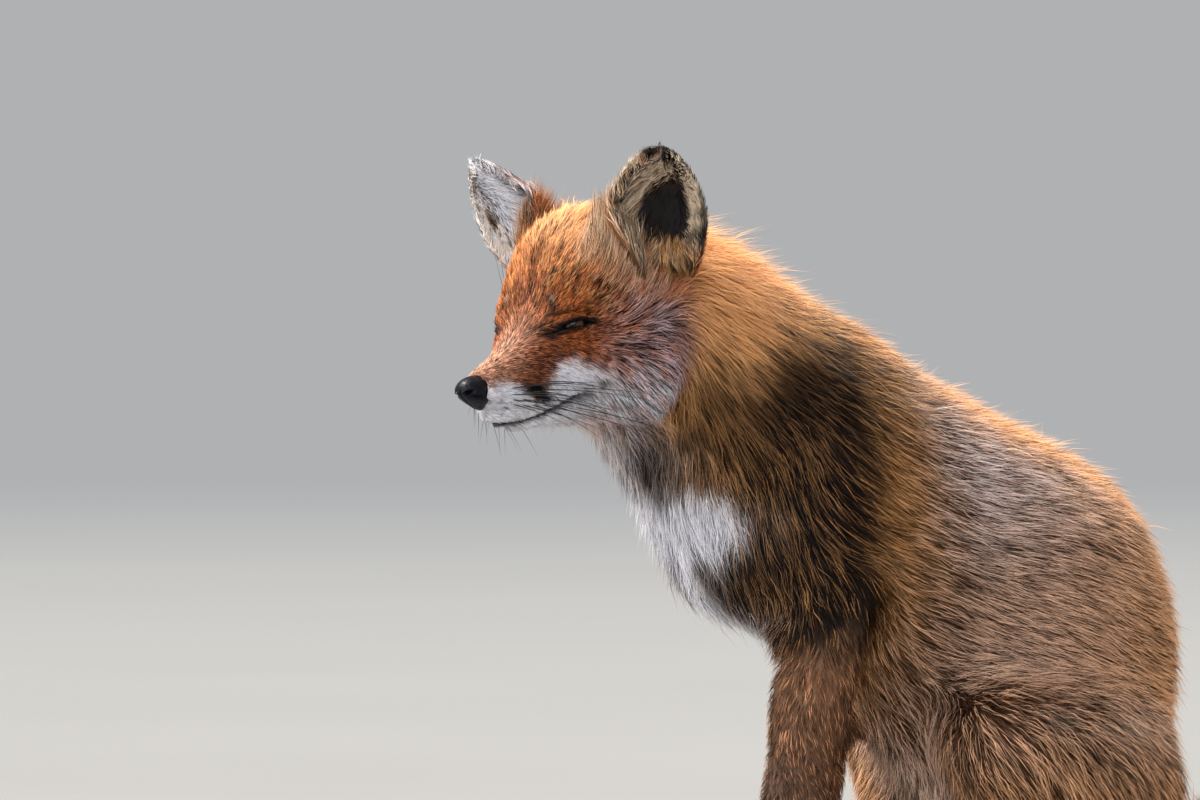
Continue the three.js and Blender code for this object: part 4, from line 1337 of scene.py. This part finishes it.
def build_claws(material, width):
    """A claw in place of each claw node, curving down to its tip."""
    for node in sorted(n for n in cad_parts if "claw" in n):
        low, high = (np.array(corner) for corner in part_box(node))
        x = (low[0] + high[0]) / 2
        root = np.array((x, high[1] + 3.5 * MM, high[2] - 1.4 * MM))
        tip = np.array((x, low[1], low[2] + 0.2 * MM))
        t = np.linspace(0, 1, 12)
        route = root + (tip - root) * t[:, None]
        route[:, 2] += 1.5 * MM * np.sin(t * math.pi)
        radii = width / 2 * (1 - t) ** 0.6 + 0.12 * MM
        points, faces = tube(route, radii, 12)
        piece = link(node + "_horn", mesh_from(node + "_horn", points, faces), material)
        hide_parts(node)


def whisker(root, heading, length, droop, thick, sides=5):
    t = np.linspace(0, 1, 9)
    heading = unit(np.asarray(heading))
    route = root + heading * (t * length)[:, None] * MM
    route = route - UP * (droop * t * t)[:, None] * MM
    return tube(route, thick * MM * (1 - 0.92 * t), sides)


def build_whiskers(material):
    """Long hairs on the lips, chin and brows."""
    draw = np.random.default_rng(SEED)
    points, faces = [], []
    offset = 0

    def add(root, heading, length, droop, thick):
        nonlocal offset
        p, f = whisker(root, heading, length, droop, thick)
        points.append(p)
        faces.append(f + offset)
        offset += len(p)

    tree = bvhtree.BVHTree.FromPolygons([Vector(p) for p in SKIN["points"]],
                                        [list(p.vertices) for p in SKIN["mesh"].polygons])

    def on_skin(outward, behind, above):
        return np.array(tree.find_nearest(Vector(on_head(outward, behind, above)))[0])

    for way in (1, -1):
        for row, (rise, count) in enumerate(((4, 4), (0, 5), (-4, 5), (-8, 4))):
            for k in range(count):
                root = on_skin(way * 18, 24 + k * 7.5, rise + k * 0.6)
                lean = LEFT * way * draw.uniform(0.55, 0.8) + BACK * draw.uniform(0.75, 1.0)
                lean = lean + UP * (0.14 - 0.12 * row)
                add(root, lean, draw.uniform(36, 76) + k * 5, draw.uniform(4, 22), 0.38)
        for k in range(3):
            root = on_skin(way * 22, 76 + k * 4, 56 + k)
            add(root, LEFT * way * 0.35 + UP * 0.8 + BACK * (0.1 + 0.15 * k), draw.uniform(26, 38), -2, 0.2)
        for k in range(3):
            root = on_skin(way * 7, 26 + k * 9, -22)
            add(root, LEFT * way * 0.35 - UP * 0.9 + BACK * 0.5, draw.uniform(14, 22), 2, 0.16)
    mesh = mesh_from("whiskers", np.concatenate(points), np.concatenate(faces))
    return link("whiskers", mesh, material)


# ----------------------------------------------------------------- materials

def new_material(name):
    material = bpy.data.materials.new(name)
    material.use_nodes = True
    nodes = material.node_tree.nodes
    return material, nodes, material.node_tree.links, nodes["Principled BSDF"]


def noise(nodes, links, scale, detail=4):
    place = nodes.new("ShaderNodeTexCoord")
    texture = nodes.new("ShaderNodeTexNoise")
    texture.inputs["Scale"].default_value = scale
    texture.inputs["Detail"].default_value = detail
    links.new(place.outputs["Object"], texture.inputs["Vector"])
    return texture


def varied(nodes, links, colour, texture, low, high):
    """A colour made darker and lighter by a texture."""
    scale = nodes.new("ShaderNodeMapRange")
    scale.inputs["To Min"].default_value = low
    scale.inputs["To Max"].default_value = high
    links.new(texture.outputs["Fac"], scale.inputs["Value"])
    product = nodes.new("ShaderNodeVectorMath")
    product.operation = "SCALE"
    links.new(colour, product.inputs[0])
    links.new(scale.outputs["Result"], product.inputs["Scale"])
    return product.outputs["Vector"]


def raised(nodes, links, shader, height, strength, distance):
    """Fine relief from a height."""
    relief = nodes.new("ShaderNodeBump")
    relief.inputs["Strength"].default_value = strength
    relief.inputs["Distance"].default_value = distance
    links.new(height, relief.inputs["Height"])
    links.new(relief.outputs["Normal"], shader.inputs["Normal"])


def mottled(nodes, links, shader, texture, dark, light):
    """A finish between two tones."""
    ramp = nodes.new("ShaderNodeValToRGB")
    ramp.color_ramp.elements[0].color = (*dark, 1)
    ramp.color_ramp.elements[1].color = (*light, 1)
    links.new(texture.outputs["Fac"], ramp.inputs["Fac"])
    links.new(ramp.outputs["Color"], shader.inputs["Base Color"])


def painted(nodes, name):
    attribute = nodes.new("ShaderNodeAttribute")
    attribute.attribute_name = name
    return attribute.outputs["Color"]


def coat_material():
    material, nodes, links, shader = new_material("fox fur")
    grain = noise(nodes, links, 260)
    tone = varied(nodes, links, painted(nodes, "coat_tone"), grain, 0.72, 1.28)
    links.new(tone, shader.inputs["Base Color"])
    shader.inputs["Roughness"].default_value = 0.52
    shader.inputs["Specular IOR Level"].default_value = 0.12
    return material


def skin_material():
    material, nodes, links, shader = new_material("skin under fur")
    fine = noise(nodes, links, 900, 6)
    # noise darkens the skin to between 0.45 and 1 of its tone: random grain, and on the whole painted shade under the
    # coat
    tone = varied(nodes, links, painted(nodes, "coat_tone"), fine, 0.45, 1.0)
    links.new(tone, shader.inputs["Base Color"])
    shader.inputs["Roughness"].default_value = 0.8
    raised(nodes, links, shader, fine.outputs["Fac"], 0.5, 0.0006)
    return material


def eye_material():
    material, nodes, links, shader = new_material("wet eye")
    speckle = noise(nodes, links, 1500)
    links.new(varied(nodes, links, painted(nodes, "eye_tone"), speckle, 0.8, 1.2), shader.inputs["Base Color"])
    shader.inputs["Roughness"].default_value = 0.12
    shader.inputs["Specular IOR Level"].default_value = 0.4
    shader.inputs["Coat Weight"].default_value = 0.3
    shader.inputs["Coat Roughness"].default_value = 0.03
    return material


def nose_material():
    material, nodes, links, shader = new_material("moist nose leather")
    pebbles = nodes.new("ShaderNodeTexVoronoi")
    pebbles.inputs["Scale"].default_value = 1500
    place = nodes.new("ShaderNodeTexCoord")
    links.new(place.outputs["Object"], pebbles.inputs["Vector"])
    raised(nodes, links, shader, pebbles.outputs["Distance"], 0.5, 0.0003)
    mottled(nodes, links, shader, noise(nodes, links, 300), (0.0015, 0.0015, 0.003), (0.007, 0.007, 0.012))
    shader.inputs["Roughness"].default_value = 0.34
    shader.inputs["Specular IOR Level"].default_value = 0.12
    shader.inputs["Coat Weight"].default_value = 0.04
    shader.inputs["Coat Roughness"].default_value = 0.15
    return material


def horn_material():
    material, nodes, links, shader = new_material("claw horn")
    streak = noise(nodes, links, 700)
    mottled(nodes, links, shader, streak, (0.02, 0.015, 0.012), (0.12, 0.09, 0.07))
    shader.inputs["Roughness"].default_value = 0.35
    raised(nodes, links, shader, streak.outputs["Fac"], 0.3, 0.0002)
    return material


def whisker_material():
    material, nodes, links, shader = new_material("whisker")
    mottled(nodes, links, shader, noise(nodes, links, 120), (0.006, 0.005, 0.005), (0.03, 0.025, 0.022))
    shader.inputs["Roughness"].default_value = 0.3
    return material


AIR = (0.86, 0.88, 0.9, 1)
AIR_STRENGTH = 0.5
FLOOR_HALF = 30   # metres, so that the floor passes out of view


def floor_material():
    material, nodes, links, shader = new_material("pale floor")
    mottled(nodes, links, shader, noise(nodes, links, 1.5), (0.17, 0.17, 0.168), (0.19, 0.19, 0.187))
    shader.inputs["Roughness"].default_value = 0.9
    # far away the floor takes the tone of the studio's air, so that no horizon shows
    place = nodes.new("ShaderNodeTexCoord")
    away = nodes.new("ShaderNodeVectorMath")
    away.operation = "LENGTH"
    fade = nodes.new("ShaderNodeMapRange")
    fade.interpolation_type = "SMOOTHSTEP"
    fade.inputs["From Min"].default_value = 1.2
    fade.inputs["From Max"].default_value = 12
    air = nodes.new("ShaderNodeEmission")
    air.inputs["Color"].default_value = AIR
    air.inputs["Strength"].default_value = AIR_STRENGTH
    blend = nodes.new("ShaderNodeMixShader")
    links.new(place.outputs["Object"], away.inputs[0])
    links.new(away.outputs["Value"], fade.inputs["Value"])
    links.new(fade.outputs["Result"], blend.inputs["Fac"])
    links.new(shader.outputs["BSDF"], blend.inputs[1])
    links.new(air.outputs["Emission"], blend.inputs[2])
    links.new(blend.outputs["Shader"], nodes["Material Output"].inputs["Surface"])
    return material


# --------------------------------------------------------------------- stage

def aim(thing, place, target):
    thing.location = Vector(place)
    thing.rotation_euler = (Vector(target) - Vector(place)).to_track_quat("-Z", "Y").to_euler()


def soft_light(name, came_from, power, spread, tint):
    data = bpy.data.lights.new(name, "SUN")
    data.energy = power
    data.angle = math.radians(spread)
    data.color = tint
    aim(put(name, data), BODY + np.array(came_from), BODY)


def build_stage(settings):
    corners = [(x * FLOOR_HALF, y * FLOOR_HALF, 0) for x, y in ((-1, -1), (1, -1), (1, 1), (-1, 1))]
    floor = put("floor", mesh_from("floor", corners, [(0, 1, 2, 3)]))
    floor.data.materials.append(floor_material())
    target = BODY + np.array((-0.034, -0.105, 0.366))
    view_from = BODY + np.array((3.242, -2.401, 0.427))
    data = bpy.data.cameras.new("camera")
    data.sensor_width = 36
    data.lens = settings.lens
    camera = put("camera", data)
    aim(camera, view_from, target)
    bpy.context.scene.camera = camera
    power = settings.key_power
    soft_light("soft_key", (-1.0, -0.9, 2.3), power, 16, (1.0, 0.96, 0.9))
    soft_light("rim", (-0.5, 1.8, 1.5), power * 0.3, 16, (1.0, 0.95, 0.87))
    soft_light("fill", (3.0, -2.4, 1.5), power * 0.17, 50, (0.92, 0.95, 1.0))
    soft_light("front_fill", (-0.3, -2.5, 0.9), power * 0.22, 40, (0.97, 0.98, 1.0))
    world = bpy.data.worlds.new("studio")
    world.use_nodes = True
    world.node_tree.nodes["Background"].inputs["Color"].default_value = AIR
    world.node_tree.nodes["Background"].inputs["Strength"].default_value = AIR_STRENGTH
    bpy.context.scene.world = world
    bpy.context.scene.view_settings.view_transform = "Standard"


# ---------------------------------------------------------- settings and tools

USER_TONES = ("crown", "cheek", "white", "nape", "shoulder", "flank")


class FoxCoatSettings(bpy.types.PropertyGroup):
    """How the coat is grown, and its main colours."""

    fullness: bpy.props.FloatProperty(
        name="Fullness", description="Share of the full number of tufts", default=1.0, min=0.05, max=1.0,
        subtype="FACTOR")
    crown: bpy.props.FloatVectorProperty(
        name="Crown", description="Hair between the eyes and the ears", default=tuple(FUR["crown"]),
        min=0.0, max=1.0, subtype="COLOR")
    cheek: bpy.props.FloatVectorProperty(
        name="Cheek", description="Roots of the hair on the cheeks", default=tuple(FUR["cheek"]),
        min=0.0, max=1.0, subtype="COLOR")
    white: bpy.props.FloatVectorProperty(
        name="White", description="Hair of the lips, the bib and the tail's tip", default=tuple(FUR["white"]),
        min=0.0, max=1.0, subtype="COLOR")
    nape: bpy.props.FloatVectorProperty(
        name="Nape", description="Hair along the back of the neck", default=tuple(FUR["nape"]),
        min=0.0, max=1.0, subtype="COLOR")
    shoulder: bpy.props.FloatVectorProperty(
        name="Shoulder", description="Dark wool of the shoulders", default=tuple(FUR["shoulder"]),
        min=0.0, max=1.0, subtype="COLOR")
    flank: bpy.props.FloatVectorProperty(
        name="Flank", description="Hair of the flanks and the thighs", default=tuple(FUR["flank"]),
        min=0.0, max=1.0, subtype="COLOR")


class FoxFaceSettings(bpy.types.PropertyGroup):
    """The eyes, and the claws of the feet."""

    # a dark brown: the iris's own tone darkened as painted shade from the narrowed lids
    iris: bpy.props.FloatVectorProperty(
        name="Iris", description="Colour of the iris", default=tuple(srgb(70, 42, 18)), min=0.0, max=1.0,
        subtype="COLOR")
    claw_width: bpy.props.FloatProperty(
        name="Claw width", description="Width of each claw at its root", default=4.6 * MM, min=2 * MM, max=8 * MM,
        precision=4, subtype="DISTANCE", unit="LENGTH")


class FoxStageSettings(bpy.types.PropertyGroup):
    """The lights and the camera."""

    lens: bpy.props.FloatProperty(
        name="Lens", description="Focal length of the camera", default=198.0, min=20.0, max=400.0,
        subtype="DISTANCE_CAMERA")
    key_power: bpy.props.FloatProperty(
        name="Key power", description="Strength of the main light, in watts for each square metre",
        default=7.5, min=0.1, max=20.0)


class FOX_OT_skin(bpy.types.Operator):
    """Make the skin that stands for all the flesh of the fox, with its lids, lips and ears"""

    bl_idname = "fox.skin"
    bl_label = "Skin"

    def execute(self, context):
        FUR.update({tone: np.array(getattr(context.scene.fox_coat, tone)) for tone in USER_TONES})
        build_skin(skin_material())
        return {"FINISHED"}


class FOX_OT_coat(bpy.types.Operator):
    """Grow the coat over the skin as joined meshes of thin tufts"""

    bl_idname = "fox.coat"
    bl_label = "Coat"

    def execute(self, context):
        if "points" not in SKIN:
            raise RuntimeError("the coat needs the skin: make the skin first")
        comb_paths()
        SKIN["depth"] = fur_depth()
        material = coat_material()
        for seed, coat in enumerate(COATS):
            count = max(200, int(coat.count * context.scene.fox_coat.fullness))
            grow(coat._replace(count=count), seed, material)
        return {"FINISHED"}


class FOX_OT_eyes(bpy.types.Operator):
    """Make the two eyeballs behind the lids"""

    bl_idname = "fox.eyes"
    bl_label = "Eyes"

    def execute(self, context):
        material = eye_material()
        for side in SIDES:
            build_eye(side, material, np.array(context.scene.fox_face.iris))
        return {"FINISHED"}


class FOX_OT_nose(bpy.types.Operator):
    """Make the nose leather with its nostrils"""

    bl_idname = "fox.nose"
    bl_label = "Nose"

    def execute(self, context):
        build_nose(nose_material())
        return {"FINISHED"}


class FOX_OT_claws(bpy.types.Operator):
    """Make the claws of all four feet"""

    bl_idname = "fox.claws"
    bl_label = "Claws"

    def execute(self, context):
        build_claws(horn_material(), context.scene.fox_face.claw_width)
        return {"FINISHED"}


class FOX_OT_whiskers(bpy.types.Operator):
    """Make the whiskers of the lips, brows and chin"""

    bl_idname = "fox.whiskers"
    bl_label = "Whiskers"

    def execute(self, context):
        build_whiskers(whisker_material())
        return {"FINISHED"}


class FOX_OT_stage(bpy.types.Operator):
    """Set the floor, the lights and the camera"""

    bl_idname = "fox.stage"
    bl_label = "Stage"

    def execute(self, context):
        build_stage(context.scene.fox_stage)
        return {"FINISHED"}


OPERATORS = (FOX_OT_skin, FOX_OT_coat, FOX_OT_eyes, FOX_OT_nose, FOX_OT_claws, FOX_OT_whiskers, FOX_OT_stage)


class FOX_PT_panel(bpy.types.Panel):
    """Lists the pieces of the fox"""

    bl_label = "Sitting Fox"
    bl_idname = "FOX_PT_panel"
    bl_space_type = "VIEW_3D"
    bl_region_type = "UI"
    bl_category = "Fox"

    def draw(self, context):
        for operator in OPERATORS:
            self.layout.operator(operator.bl_idname)
        for settings in (context.scene.fox_coat, context.scene.fox_face, context.scene.fox_stage):
            for name in type(settings).__annotations__:
                self.layout.prop(settings, name)


CLASSES = (FoxCoatSettings, FoxFaceSettings, FoxStageSettings, *OPERATORS, FOX_PT_panel)


def register():
    for cls in CLASSES:
        bpy.utils.register_class(cls)
    bpy.types.Scene.fox_coat = bpy.props.PointerProperty(type=FoxCoatSettings)
    bpy.types.Scene.fox_face = bpy.props.PointerProperty(type=FoxFaceSettings)
    bpy.types.Scene.fox_stage = bpy.props.PointerProperty(type=FoxStageSettings)


def unregister():
    del bpy.types.Scene.fox_stage
    del bpy.types.Scene.fox_face
    del bpy.types.Scene.fox_coat
    for cls in reversed(CLASSES):
        bpy.utils.unregister_class(cls)


def main():
    register()
    for step in (bpy.ops.fox.skin, bpy.ops.fox.coat, bpy.ops.fox.eyes, bpy.ops.fox.nose, bpy.ops.fox.claws,
                 bpy.ops.fox.whiskers, bpy.ops.fox.stage):
        step()


if __name__ == "__main__":
    main()
